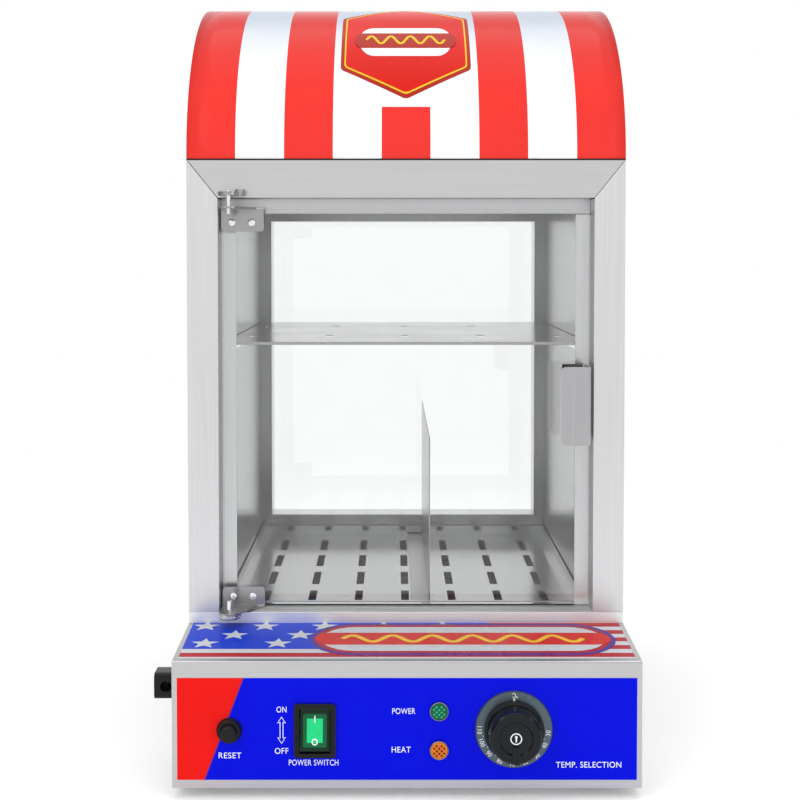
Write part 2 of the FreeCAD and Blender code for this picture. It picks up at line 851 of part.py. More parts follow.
def make_reset():
    centre = ("reset_x", "control_z")
    collar = cone(
        "reset_collar",
        "y",
        (centre[0], "film_front - 5", centre[1]),
        "5",
        "reset_radius - 1.5",
        "reset_radius",
    )
    bush = rod(
        "reset_bush",
        "y",
        (centre[0], "film_front", centre[1]),
        "film_gauge + 10",
        "reset_button_radius + 1.4",
    )
    box = block(
        "reset_box",
        ("reset_x - 14", "reset_x + 14"),
        ("base_front + 10", "base_front + 32"),
        ("control_z - 12", "control_z + 12"),
    )
    bore = rod(
        "reset_bore",
        "y",
        (centre[0], "film_front - 6", centre[1]),
        "film_gauge + 14",
        "reset_button_radius + pin_play",
    )
    node(cut("reset_cutout", fuse("reset_blank", collar, bush, box), bore))
    stem = rod(
        "reset_stem",
        "y",
        (centre[0], "film_front - 9", centre[1]),
        "13",
        "reset_button_radius",
    )
    crown = doc.addObject("Part::Sphere", "reset_crown")
    bind(crown, Radius="reset_button_radius * 2")
    place(crown, centre[0], "film_front - 9 - 1.2 + reset_button_radius * 2", centre[1])
    tip_space = rod(
        "reset_tip_space",
        "y",
        (centre[0], "film_front - 12", centre[1]),
        "3",
        "reset_button_radius",
    )
    node(fuse("reset_button", stem, common("reset_tip", crown, tip_space)))


def make_lamps():
    lamp_bodies = []
    for name, side in (("power", 1), ("heat", -1)):
        level = f"control_z + {side} * lamp_spread / 2"
        rim = ("lamp_x", "film_front - 2", level)
        ring = cone(f"{name}_ring", "y", rim, "2", "lamp_radius - 0.6", "lamp_radius")
        sleeve = rod(
            f"{name}_sleeve", "y", ("lamp_x", "film_front", level), "24", "lamp_radius - 1.6"
        )
        seat = rod(
            f"{name}_seat", "y", ("lamp_x", "film_front - 3", level), "12", "lamp_radius - 2.4"
        )
        lamp_bodies.append(cut(f"{name}_lamp_body", fuse(f"{name}_lamp_blank", ring, sleeve), seat))
        lens = rod(
            f"{name}_lens_stem", "y", ("lamp_x", "film_front - 2", level), "8", "lamp_radius - 2.4"
        )
        crown = cone(
            f"{name}_lens_crown",
            "y",
            ("lamp_x", "film_front - 5", level),
            "3",
            "lamp_radius - 4",
            "lamp_radius - 2.4",
        )
        node(fuse(f"{name}_lamp_lens", lens, crown))
    node(group("lamp_bodies", lamp_bodies))


def make_thermostat():
    box = block(
        "thermostat_box",
        ("dial_x - 20", "dial_x + 20"),
        ("base_front + sheet_gauge", "base_front + sheet_gauge + 32"),
        ("dial_z - 17", "dial_z + 17"),
    )
    shaft_start = "film_front - skirt_gauge - knob_length / 2"
    shaft = rod(
        "thermostat_shaft",
        "y",
        ("dial_x", shaft_start, "dial_z"),
        f"base_front + sheet_gauge - ({shaft_start})",
        "shaft_radius",
    )
    node(fuse("thermostat_body", box, shaft))
    bulb_start = ("0", "pan_front + 20", "probe_level")
    bulb = rod("probe_bulb", "y", bulb_start, "90", "probe_radius")
    lead_start = ("0", "pan_front - 12", "probe_level")
    lead = rod("probe_lead", "y", lead_start, "32", "probe_lead_radius")
    node(fuse("thermostat_probe", bulb, lead))


def make_knob():
    """A skirt with the scale and a turned grip with a pointer ridge, on the thermostat's shaft."""
    bore_radius = "shaft_radius + pin_play"
    skirt_start = ("dial_x", "knob_back", "dial_z")
    skirt = cone("skirt_blank", "y", skirt_start, "skirt_gauge", "skirt_radius - 1", "skirt_radius")
    skirt_bore = ("y", ("dial_x", "knob_back - 1", "dial_z"), "skirt_gauge + 2", bore_radius)
    node(pierced("dial_skirt", skirt, [skirt_bore]))
    body = doc.addObject("PartDesign::Body", "knob_turned")
    section = [
        ("0", "0"),
        ("knob_radius", "0"),
        ("knob_radius", "4"),
        ("knob_radius - 2", "4.8"),
        ("knob_radius - 3.2", "knob_length - 1.5"),
        ("knob_radius - 4.7", "knob_length"),
        ("knob_radius - 10", "knob_length"),
        ("knob_radius - 11", "knob_length - 1.2"),
        ("0", "knob_length - 1.2"),
    ]
    sketch = outline(body, "knob_section", "XY_Plane", section)
    turned = body.newObject("PartDesign::Revolution", "knob_revolved")
    turned.Profile = sketch
    turned.ReferenceAxis = (sketch, ["V_Axis"])
    turned.Angle = 360
    doc.recompute()
    half_turn = FreeCAD.Rotation(FreeCAD.Vector(0, 0, 1), 180)
    place(body, "dial_x", "knob_back", "dial_z", half_turn)
    ridge = block(
        "knob_ridge",
        around("dial_x", "2.6"),
        ("knob_back - knob_length - 1.6", "knob_back - knob_length + 3"),
        ("dial_z - knob_radius + 4", "dial_z - 6"),
    )
    depth = "knob_length / 2 + 1 - rest_gap"
    bore = ("y", ("dial_x", f"knob_back - ({depth})", "dial_z"), f"{depth} + 1", bore_radius)
    node(pierced("knob", fuse("knob_blank", body, ridge), [bore]))


def make_gland():
    """A right-angled gland: the cord enters from the front and turns into the base."""
    reach = "gland_reach - gland_flange"
    body = doc.addObject("PartDesign::Body", "gland_block")
    section = rectangle(around("gland_y", "gland_width / 2"), around("gland_z", "gland_width / 2"))
    end = outline(body, "gland_section", "YZ_Plane", section, "-(half + gland_reach)")
    pad(body, end, reach)
    round_edges(body, "gland_round", lambda edge: runs_along(edge, "x"))
    flange_start = ("-(half + gland_flange)", "gland_y", "gland_z")
    flange = rod("gland_flange_ring", "x", flange_start, "gland_flange", "gland_width / 2 + 1.5")
    stem = rod("gland_stem", "x", ("-(half)", "gland_y", "gland_z"), "12", "gland_stem_radius")
    nut = rod("gland_nut", "x", ("-(half - sheet_gauge)", "gland_y", "gland_z"), "5", "8")
    mouth_start = ("gland_x", "gland_y - gland_width / 2 - 1", "gland_z")
    mouth = rod("gland_mouth", "y", mouth_start, "gland_width / 2 + 1", "cord_radius")
    passage_start = ("gland_x", "gland_y", "gland_z")
    passage = rod("gland_passage", "x", passage_start, "gland_reach + 10", "gland_stem_radius - 1.5")
    node(cut("cord_gland", fuse("gland_blank", body, flange, stem, nut), mouth, passage))


def make_terminal_block():
    base = block(
        "terminal_base",
        around("terminal_x", "2 * terminal_pitch - 4"),
        around("terminal_y", "8"),
        ("terminal_low", "terminal_low + terminal_height"),
    )
    wells = []
    for i in (-1, 0, 1):
        start = (f"terminal_x + {i} * terminal_pitch", "terminal_y", "terminal_low + 12")
        wells.append(rod(f"terminal_well_{i + 1}", "z", start, "terminal_height", "2.5"))
    node(cut("terminal_block", base, *wells))


# each hinge leaf: its tab's underside, its lowest and highest edge and its screws' level
LEAVES = {
    "lower": {
        "tab": "lower_tab",
        "low": "lower_tab",
        "high": "lower_tab + lower_leaf_height",
        "free": "high",
        "screws": "lower_tab + 8.2",
    },
    "upper": {
        "tab": "upper_tab",
        "low": "upper_tab + leaf_gauge - upper_leaf_height",
        "high": "upper_tab + leaf_gauge",
        "free": "low",
        "screws": "upper_tab + leaf_gauge - 12.5",
    },
}


def leaf_screws(leaf):
    return [(f"pin_x + {i} * hinge_screw_pitch", leaf["screws"]) for i in range(2)]


def handle_screws():
    middle = "handle_low + handle_height / 2"
    return [("handle_screw_x", f"{middle} {sign} handle_screw_pitch / 2") for sign in "-+"]


def make_hinge_leaves():
    """Each leaf lies on the glass and has a tab that reaches forward round its pin."""
    screws = []
    backings = []
    for name, leaf in LEAVES.items():
        plate = doc.addObject("PartDesign::Body", f"{name}_leaf_plate")
        width = ("leaf_left", "leaf_left + leaf_width")
        corners = rectangle(width, (leaf["low"], leaf["high"]))
        face = outline(plate, f"{name}_leaf_face", "XZ_Plane", corners, "-(glass_front)")
        pad(plate, face, "leaf_gauge")
        free_edge = number(leaf[leaf["free"]])

        def at_free_corner(edge):
            return runs_along(edge, "y") and abs(edge.Vertexes[0].Point.z - free_edge) < 0.01

        round_edges(plate, "leaf_round", at_free_corner)
        tab_shape = [
            ("leaf_left", "pin_y"),
            ("pin_x + tab_radius * 0.8", "pin_y - tab_radius * 0.6"),
            ("leaf_left + leaf_width - 6", "glass_front - leaf_gauge - 3"),
            ("leaf_left + leaf_width", "glass_front - leaf_gauge"),
            ("leaf_left", "glass_front - leaf_gauge"),
        ]
        tab_top = f"{leaf['tab']} + leaf_gauge"
        tab = slab(f"{name}_tab", "XY_Plane", tab_shape, leaf["tab"], tab_top)
        nose = rod(f"{name}_nose", "z", ("pin_x", "pin_y", leaf["tab"]), "leaf_gauge", "tab_radius")
        eye_start = ("pin_x", "pin_y", f"{leaf['tab']} - 1")
        eye = ("z", eye_start, "leaf_gauge + 2", "pin_radius + pin_play")
        holes = [eye, *screw_holes(leaf_screws(leaf), "glass_front - leaf_gauge", "leaf_gauge")]
        blank = fuse(f"{name}_leaf_blank", plate, tab, nose)
        node(pierced(f"{name}_hinge_leaf", blank, holes))
        for i, (x, z) in enumerate(leaf_screws(leaf)):
            seat = "glass_front - leaf_gauge"
            head = cone(
                f"{name}_screw_head_{i}",
                "y",
                (x, f"{seat} - screw_head_height", z),
                "screw_head_height",
                "screw_head_radius - 1",
                "screw_head_radius",
            )
            length = "glass_gauge + 2 * leaf_gauge"
            shank = rod(f"{name}_screw_shank_{i}", "y", (x, seat, z), length, "hinge_screw_radius")
            screws.append(fuse(f"{name}_hinge_screw_{i}", head, shank))
        plate_behind = block(
            f"{name}_backing_blank",
            ("leaf_left + 2", "leaf_left + leaf_width - 4"),
            ("glass_back", "glass_back + leaf_gauge"),
            around(leaf["screws"], "5"),
        )
        backing_holes = screw_holes(leaf_screws(leaf), "glass_back", "leaf_gauge")
        backings.append(pierced(f"{name}_backing", plate_behind, backing_holes))
    node(group("hinge_screws", screws))
    node(group("hinge_backing_plates", backings))


def bracket(name, low, gauge, right_edge, *extras):
    """A tongue welded to the cabinet's front, round at the end that holds the pin."""
    width = ("pin_x - washer_radius", right_edge)
    tongue = block(f"{name}_tongue", width, ("pin_y", "front"), (low, f"{low} + {gauge}"))
    nose = rod(f"{name}_nose", "z", ("pin_x", "pin_y", low), gauge, "washer_radius")
    blank = fuse(f"{name}_blank", tongue, nose, *extras)
    return pierced(name, blank, [("z", ("pin_x", "pin_y", f"{low} - 1"), f"{gauge} + 2", "pin_radius")])


def pin(name, low, high):
    return rod(name, "z", ("pin_x", "pin_y", low), f"{high} - ({low})", "pin_radius")


def make_hinge_brackets():
    lower_low = "washer_low - bracket_gauge"
    node(bracket("lower_hinge_bracket", lower_low, "bracket_gauge", "pin_x + washer_radius"))
    node(pin("lower_hinge_pin", lower_low, "lower_tab + leaf_gauge + pin_reach"))
    washers = []
    for i in range(2):
        level = f"washer_low + {i} * washer_gauge"
        start = ("pin_x", "pin_y", level)
        disc = rod(f"washer_disc_{i}", "z", start, "washer_gauge", f"washer_radius - {i}")
        eye = ("z", ("pin_x", "pin_y", f"{level} - 1"), "washer_gauge + 2", "pin_radius")
        washers.append(pierced(f"hinge_washer_{i}", disc, [eye]))
    node(group("hinge_washers", washers))
    rivet_start = ("pin_x + 9", "pin_y + 5", "upper_bracket_low")
    rivet = rod("upper_bracket_rivet", "z", rivet_start, "upper_bracket_gauge + 2", "4")
    right_edge = "pin_x + washer_radius + 3"
    upper = ("upper_bracket_low", "upper_bracket_gauge", right_edge, rivet)
    node(bracket("upper_hinge_bracket", *upper))
    pin_top = "upper_bracket_low + upper_bracket_gauge + 1"
    node(pin("upper_hinge_pin", "upper_tab - pin_reach / 2", pin_top))


def make_door_glass():
    pane = block(
        "pane_blank",
        around("0", "glass_half"),
        ("glass_front", "glass_back"),
        ("glass_low", "glass_high"),
    )
    screws = [place for leaf in LEAVES.values() for place in leaf_screws(leaf)] + handle_screws()
    node(pierced("door_glass", pane, screw_holes(screws, "glass_front", "glass_gauge")))


def make_handle():
    """A strip bent to a U: one leaf on the glass, a web at the edge and a grip leaf in front."""
    points = [
        ("handle_right - handle_foot", "glass_front"),
        ("handle_right", "glass_front"),
        ("handle_right", "handle_grip"),
        ("handle_right - handle_width", "handle_grip"),
        ("handle_right - handle_width", "handle_grip + handle_gauge"),
        ("handle_right - handle_gauge", "handle_grip + handle_gauge"),
        ("handle_right - handle_gauge", "glass_front - handle_gauge"),
        ("handle_right - handle_foot", "glass_front - handle_gauge"),
    ]
    body = slab("handle_strip", "XY_Plane", points, "handle_low", "handle_low + handle_height")
    right = number("handle_right")

    def at_bend(edge, x):
        return runs_along(edge, "z") and abs(edge.Vertexes[0].Point.x - x) < 0.01

    def at_grip_corner(edge):
        free_edge = right - number("handle_width")
        return runs_along(edge, "y") and abs(edge.Vertexes[0].Point.x - free_edge) < 0.01

    round_edges(body, "handle_gauge + handle_bend", lambda edge: at_bend(edge, right))
    inner_right = right - number("handle_gauge")
    round_edges(body, "handle_bend", lambda edge: at_bend(edge, inner_right))
    round_edges(body, "handle_round", at_grip_corner)
    seat = "glass_front - handle_gauge"
    node(pierced("door_handle", body, screw_holes(handle_screws(), seat, "handle_gauge")))
    screws = []
    for i, (x, z) in enumerate(handle_screws()):
        head = rod(f"handle_screw_head_{i}", "y", (x, f"{seat} - 2", z), "2", "screw_head_radius")
        length = "handle_gauge + glass_gauge"
        shank = rod(f"handle_screw_shank_{i}", "y", (x, seat, z), length, "hinge_screw_radius")
        nut = rod(f"handle_screw_nut_{i}", "y", (x, "glass_back", z), "2.2", "screw_head_radius + 0.5")
        screws.append(fuse(f"handle_screw_{i}", head, shank, nut))
    node(group("handle_screws", screws))


def slotted(body, name, field, pitches, size, height):
    """Cuts as many rows of slots, which run front to back, as a field of a sheet has room for."""
    columns = f"(floor(({field[0]} - {size[0]} - 2 * slot_margin) / {pitches[0]}) + 1)"
    rows = f"(floor(({field[1]} - {size[1]} - 2 * slot_margin) / {pitches[1]}) + 1)"
    first_x = f"-(({columns} - 1) / 2 * {pitches[0]})"
    first_y = f"tray_middle - ({rows} - 1) / 2 * {pitches[1]}"
    corners = rectangle(around(first_x, f"{size[0]} / 2"), around(first_y, f"{size[1]} / 2"))
    first = pocket(body, outline(body, f"{name}_slot", "XY_Plane", corners, height), "4 * tray_gauge")
    grid = body.newObject("PartDesign::MultiTransform", f"{name}_slots")
    grid.Originals = [first]
    steps = []
    for role, count, pitch in (("X_Axis", columns, pitches[0]), ("Y_Axis", rows, pitches[1])):
        pattern = body.newObject("PartDesign::LinearPattern", f"{name}_{role}")
        pattern.Direction = (plane(body, role), [""])
        bind(pattern, Occurrences=count, Length=f"({count} - 1) * {pitch}")
        steps.append(pattern)
    grid.Transformations = steps
    body.Tip = grid
    doc.recompute()


def make_tray():
    body = doc.addObject("PartDesign::Body", "perforated_tray")
    pan = rectangle(
        around("0", "well_half + tray_gauge"), ("well_front - tray_gauge", "well_back + tray_gauge")
    )
    pad(body, outline(body, "tray_pan", "XY_Plane", pan, "tray_low"), "tray_gauge + tray_wall")
    rim = rectangle(around("0", "tray_half"), ("tray_front", "tray_back"))
    rim_low = "tray_floor + tray_wall - tray_gauge"
    pad(body, outline(body, "tray_rim", "XY_Plane", rim, rim_low), "tray_gauge")
    well = rectangle(around("0", "well_half"), ("well_front", "well_back"))
    hollow = outline(body, "tray_hollow", "XY_Plane", well, "tray_floor + tray_wall")
    pocket(body, hollow, "2 * tray_wall")
    field = ("2 * well_half", "(well_back - well_front)")
    pitches = ("slot_pitch", "slot_row_pitch")
    slotted(body, "tray", field, pitches, ("slot_width", "slot_length"), "tray_floor")
    node(body)


def make_shelf():
    body = doc.addObject("PartDesign::Body", "shelf")
    sheet_shape = rectangle(("-(tray_half)", "tray_half"), ("tray_front", "tray_back"))
    pad(body, outline(body, "shelf_sheet", "XY_Plane", sheet_shape, "shelf_top - shelf_lip"), "shelf_lip")
    between_lips = ("tray_front + tray_gauge", "tray_back - tray_gauge")
    under = rectangle(around("0", "tray_half + 1"), between_lips)
    pocket(body, outline(body, "shelf_under", "XY_Plane", under, "shelf_low - shelf_lip"), "2 * shelf_lip")
    field = ("2 * tray_half", "(tray_back - tray_front)")
    pitches = ("shelf_slot_pitch", "shelf_row_pitch")
    slotted(body, "shelf", field, pitches, ("shelf_slot_width", "shelf_slot_length"), "shelf_top")
    node(body)
    supports = []
    for name, side in SIDES.items():
        span = ("stop_back + 12", "liner_back - 12")
        top = "shelf_low - rest_gap"
        ledge = block(
            f"support_ledge_{name}",
            mirrored(("liner_half - support_width", "liner_half"), side),
            span,
            (f"{top} - tray_gauge", top),
        )
        leg = block(
            f"support_leg_{name}",
            mirrored(("liner_half - tray_gauge", "liner_half"), side),
            span,
            (f"{top} - support_height", f"{top} - tray_gauge"),
        )
        supports.append(fuse(f"support_{name}", ledge, leg))
    node(group("shelf_supports", supports))


def make_divider():
    low = "tray_floor + rest_gap"
    span = ("well_front + divider_end_gap", "well_back - divider_end_gap")
    thickness = ("divider_x", "divider_x + tray_gauge")
    upright = block("divider_upright", thickness, span, (low, f"{low} + divider_height"))
    foot_width = ("divider_x - divider_foot", "divider_x")
    foot = block("divider_foot_flange", foot_width, span, (low, f"{low} + tray_gauge"))
    node(fuse("divider", upright, foot))


def finish():
    doc.recompute()
    failed = [
        item.Label
        for item in doc.Objects
        if "Invalid" in item.State or "Error" in item.State
    ]
    for item in nodes:
        if item.Shape.isNull() or not item.Shape.isValid() or item.Shape.Volume <= 0:
            failed.append(item.Label)
    if failed:
        raise RuntimeError(f"these did not build: {sorted(set(failed))}")
    os.makedirs("parts", exist_ok=True)
    for item in nodes:
        item.Shape.exportStep(os.path.join("parts", f"{item.Label}.step"))
    print(f"{len(nodes)} nodes written")


make_base_housing()
make_base_bottom()
make_overlays()
make_sill()
make_front_posts()
make_top_rail()
make_walls()
make_rear()
make_roof()
make_water_pan()
make_heater()
make_switch()
make_reset()
make_lamps()
make_thermostat()
make_knob()
make_gland()
make_terminal_block()
make_door_glass()
make_hinge_leaves()
make_hinge_brackets()
make_handle()
make_tray()
make_shelf()
make_divider()
finish()
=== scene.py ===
import json
import math

import bmesh
import bpy
from mathutils import Matrix, Vector
from mathutils.bvhtree import BVHTree

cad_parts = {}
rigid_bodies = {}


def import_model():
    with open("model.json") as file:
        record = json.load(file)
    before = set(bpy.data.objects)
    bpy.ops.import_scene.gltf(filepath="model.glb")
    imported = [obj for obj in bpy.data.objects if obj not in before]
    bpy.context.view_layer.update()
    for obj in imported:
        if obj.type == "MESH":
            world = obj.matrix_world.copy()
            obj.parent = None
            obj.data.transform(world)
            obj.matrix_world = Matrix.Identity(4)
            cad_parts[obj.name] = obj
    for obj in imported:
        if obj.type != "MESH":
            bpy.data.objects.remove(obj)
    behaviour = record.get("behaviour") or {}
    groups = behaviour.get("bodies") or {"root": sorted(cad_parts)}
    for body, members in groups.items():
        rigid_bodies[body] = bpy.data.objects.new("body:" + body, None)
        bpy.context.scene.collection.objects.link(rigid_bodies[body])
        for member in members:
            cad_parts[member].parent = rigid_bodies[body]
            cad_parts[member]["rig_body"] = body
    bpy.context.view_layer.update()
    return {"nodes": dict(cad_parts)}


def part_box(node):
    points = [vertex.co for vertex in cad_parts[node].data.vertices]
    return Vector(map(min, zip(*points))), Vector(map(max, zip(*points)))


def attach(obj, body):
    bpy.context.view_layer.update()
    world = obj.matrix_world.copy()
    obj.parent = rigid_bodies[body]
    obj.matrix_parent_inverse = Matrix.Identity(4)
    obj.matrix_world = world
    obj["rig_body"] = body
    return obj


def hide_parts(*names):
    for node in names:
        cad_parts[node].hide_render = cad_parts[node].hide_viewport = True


# A counter-top hot dog steamer: striped barrel roof, glass door, shelf, divider, slotted tray, control base.

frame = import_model()
nodes = frame["nodes"]
mm = 0.001
pieceCount = []


def edges(node):
    low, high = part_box(node)
    return low.x, high.x, low.y, high.y, low.z, high.z


def middle(node):
    low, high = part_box(node)
    return (low + high) / 2


# Camera first, because everything else is judged through it.

cameraView = {
    "place": (-0.0109, -1.25, 0.4197),
    "lens": 60.53,
    "pitchDown": 1.931,
    "shift": (0.009, -0.13),
}


def makeCamera():
    data = bpy.data.cameras.new("studioCamera")
    data.lens = cameraView["lens"]
    data.shift_x, data.shift_y = cameraView["shift"]
    data.clip_start = 0.05
    camera = bpy.data.objects.new("studioCamera", data)
    camera.location = cameraView["place"]
    camera.rotation_euler = (math.radians(90 - cameraView["pitchDown"]), 0, 0)
    bpy.context.scene.collection.objects.link(camera)
    bpy.context.scene.camera = camera


makeCamera()
print("camera set")


# Node helpers, used by the shaders and the geometry trees alike.

def add(tree, kind, values=None, **settings):
    node = tree.nodes.new(kind)
    for key, value in settings.items():
        setattr(node, key, value)
    for key, value in (values or {}).items():
        if isinstance(value, bpy.types.NodeSocket):
            tree.links.new(value, node.inputs[key])
        else:
            node.inputs[key].default_value = value
    return node


def maths(tree, operation, *values):
    return add(tree, "ShaderNodeMath", dict(enumerate(values)), operation=operation).outputs[0]


def objectSpace(tree):
    return add(tree, "ShaderNodeTexCoord").outputs["Object"]


def noise(tree, spot, scale, detail):
    return add(tree, "ShaderNodeTexNoise", {"Vector": spot, "Scale": scale, "Detail": detail}).outputs["Fac"]


def ranged(tree, value, low, high, start=0.0, end=1.0):
    # Carries start..end over to low..high.
    return add(tree, "ShaderNodeMapRange", {0: value, 1: start, 2: end, 3: low, 4: high}).outputs[0]


def sharedGroup(name, kind, inputs, output, outputType="Float"):
    # inputs: {label: (socket type, default)}. Returns the group, its input sockets and its one output.
    group = bpy.data.node_groups.new(name, kind)
    for label, (socketType, value) in inputs.items():
        socket = group.interface.new_socket(label, in_out="INPUT", socket_type="NodeSocket" + socketType)
        if value is not None:
            socket.default_value = value
    group.interface.new_socket(output, in_out="OUTPUT", socket_type="NodeSocket" + outputType)
    return group, group.nodes.new("NodeGroupInput").outputs, group.nodes.new("NodeGroupOutput").inputs[0]


# Shared effects. Each puts out only masks and heights, and every material sets its own amounts.

def makeBrushedGrain():
    inputs = {"Stretch": ("Vector", (40, 40, 2000)), "Contrast": ("Float", 1.0)}
    group, given, out = sharedGroup("brushedGrain", "ShaderNodeTree", inputs, "Grain")
    scaled = add(group, "ShaderNodeVectorMath", {0: objectSpace(group), 1: given["Stretch"]},
                 operation="MULTIPLY").outputs[0]
    centred = maths(group, "SUBTRACT", noise(group, scaled, 1.0, 4.0), 0.5)
    spread = maths(group, "MULTIPLY", centred, given["Contrast"])
    group.links.new(maths(group, "ADD", spread, 0.5), out)
    return group


def makeEdgeWear():
    inputs = {"Radius": ("Float", 0.0006), "Amount": ("Float", 1.0)}
    group, given, out = sharedGroup("edgeWear", "ShaderNodeTree", inputs, "Wear")
    soft = add(group, "ShaderNodeBevel", {"Radius": given["Radius"]}, samples=3).outputs[0]
    true = add(group, "ShaderNodeNewGeometry").outputs["Normal"]
    facing = add(group, "ShaderNodeVectorMath", {0: soft, 1: true}, operation="DOT_PRODUCT")
    away = maths(group, "SUBTRACT", 1.0, facing.outputs["Value"])
    patchy = noise(group, objectSpace(group), 90.0, 3.0)
    broken = maths(group, "MULTIPLY", maths(group, "MULTIPLY", away, 6.0), patchy)
    mask = add(group, "ShaderNodeMath", {0: broken, 1: given["Amount"]}, operation="MULTIPLY", use_clamp=True)
    group.links.new(mask.outputs[0], out)
    return group


def makeDust():
    inputs = {"Amount": ("Float", 0.5)}
    group, given, out = sharedGroup("settledDust", "ShaderNodeTree", inputs, "Dust")
    up = add(group, "ShaderNodeSeparateXYZ", {0: add(group, "ShaderNodeNewGeometry").outputs["Normal"]})
    lying = ranged(group, up.outputs["Z"], 0.0, 1.0, 0.5, 1.0)
    cloudy = maths(group, "MULTIPLY", lying, noise(group, objectSpace(group), 14.0, 6.0))
    group.links.new(maths(group, "MULTIPLY", cloudy, given["Amount"]), out)
    return group


def makeMouldGrain():
    inputs = {"Size": ("Float", 1800.0)}
    group, given, out = sharedGroup("mouldGrain", "ShaderNodeTree", inputs, "Height")
    spot = objectSpace(group)
    cells = add(group, "ShaderNodeTexVoronoi", {"Vector": spot, "Scale": given["Size"]})
    cloud = noise(group, spot, given["Size"], 2.0)
    group.links.new(maths(group, "ADD", cells.outputs["Distance"], cloud), out)
    return group


groups = {
    "grain": makeBrushedGrain(),
    "wear": makeEdgeWear(),
    "dust": makeDust(),
    "mould": makeMouldGrain(),
}


def place(tree, group, **values):
    node = add(tree, "ShaderNodeGroup", node_tree=groups[group])
    for label, value in values.items():
        node.inputs[label].default_value = value
    return node.outputs[0]


def mixColour(tree, share, first, second):
    return add(tree, "ShaderNodeMix", {0: share, 6: first, 7: second}, data_type="RGBA").outputs[2]


def shade(colour, amount):
    return tuple(min(1, channel * amount) for channel in colour[:3]) + (1,)


def newShader(name, **fixed):
    material = bpy.data.materials.new(name)
    material.use_nodes = True
    tree = material.node_tree
    shader = tree.nodes["Principled BSDF"]
    for label, value in fixed.items():
        shader.inputs[label.replace("_", " ")].default_value = value
    return material, tree, shader


def wire(tree, shader, **sources):
    for label, source in sources.items():
        tree.links.new(source, shader.inputs[label.replace("_", " ")])


def bump(tree, height, strength, distance):
    values = {"Height": height, "Strength": strength, "Distance": distance}
    return add(tree, "ShaderNodeBump", values).outputs[0]


def steel(name, colour, roughness, stretch, contrast=1.0, grainBump=0.12):
    material, tree, shader = newShader(name, Metallic=1.0)
    grain = place(tree, "grain", Stretch=stretch, Contrast=contrast)
    dusty = place(tree, "dust", Amount=0.15)
    base = mixColour(tree, grain, shade(colour, 0.88), shade(colour, 1.1))
    bright = mixColour(tree, place(tree, "wear", Amount=0.5), base, shade(colour, 1.3))
    rough = ranged(tree, grain, roughness * 0.75, roughness * 1.3)
    wire(tree, shader, Base_Color=mixColour(tree, dusty, bright, (0.72, 0.71, 0.69, 1)),
         Roughness=maths(tree, "ADD", rough, dusty), Normal=bump(tree, grain, grainBump, 0.0002))
    return material


def plastic(name, colour, roughness, grainSize=1500.0, grainBump=0.2, dust=0.1, **fixed):
    material, tree, shader = newShader(name, **fixed)
    cloud = noise(tree, objectSpace(tree), 60.0, 4.0)
    base = mixColour(tree, cloud, shade(colour, 0.85), shade(colour, 1.15))
    rubbed = shade([channel + 0.05 for channel in colour], 1.5)
    lit = mixColour(tree, place(tree, "wear", Amount=0.4), base, rubbed)
    dusty = place(tree, "dust", Amount=dust)
    wire(tree, shader, Base_Color=mixColour(tree, dusty, lit, (0.5, 0.49, 0.47, 1)),
         Roughness=ranged(tree, cloud, roughness * 0.8, roughness * 1.25),
         Normal=bump(tree, place(tree, "mould", Size=grainSize), grainBump, 0.00008))
    return material


def ink(name, colour, roughness=0.28, fade=None):
    # Printed film or gloss paint. The optional last argument is (second colour, low z, high z): painted shade
    # and reflection that change the colour with height.
    material, tree, shader = newShader(name, Specular_IOR_Level=0.06)
    spot = objectSpace(tree)
    cloud = noise(tree, spot, 22.0, 5.0)
    base = mixColour(tree, cloud, shade(colour, 0.93), shade(colour, 1.06))
    # Painted shade with height: the colour blends into the second one between low and high z.
    if fade:
        second, low, high = fade
        height = add(tree, "ShaderNodeSeparateXYZ", {0: spot}).outputs["Z"]
        base = mixColour(tree, ranged(tree, height, 0.0, 1.0, low, high), base, shade(second, 1))
    dusty = place(tree, "dust", Amount=0.025)
    wire(tree, shader, Base_Color=mixColour(tree, dusty, base, (0.7, 0.69, 0.67, 1)),
         Roughness=ranged(tree, cloud, roughness * 0.8, roughness * 1.2),
         Normal=bump(tree, noise(tree, spot, 2600.0, 1.0), 0.06, 0.00003))
    return material


def clear(name, colour, roughness, ior=1.5, glow=None, transmission=1.0):
    # glow is (colour, strength) for plastic with a lamp behind it.
    material, tree, shader = newShader(name, Transmission_Weight=transmission, IOR=ior,
                                       Specular_IOR_Level=0.2 if glow else 0.5)
    spot = objectSpace(tree)
    smear = noise(tree, spot, 30.0, 5.0)
    base = mixColour(tree, smear, shade(colour, 1), shade(colour, 0.97))
    wire(tree, shader, Base_Color=mixColour(tree, place(tree, "wear", Amount=0.3), base, shade(colour, 1.1)),
         Roughness=ranged(tree, smear, roughness * 0.5, roughness * 1.5))
    if glow:
        lit, strength = glow
        wire(tree, shader, Emission_Color=mixColour(tree, noise(tree, spot, 160.0, 2.0), shade(lit, 1),
                                                    shade(lit, 0.7)))
        shader.inputs["Emission Strength"].default_value = strength
    return material


upright = (1400, 1400, 9)       # grain that runs up
across = (9, 1400, 1400)        # grain that runs from side to side
deep = (1400, 9, 1400)          # grain that runs front to back
steelGrey = (0.66, 0.66, 0.67)
linerGrey = (0.60, 0.60, 0.61)

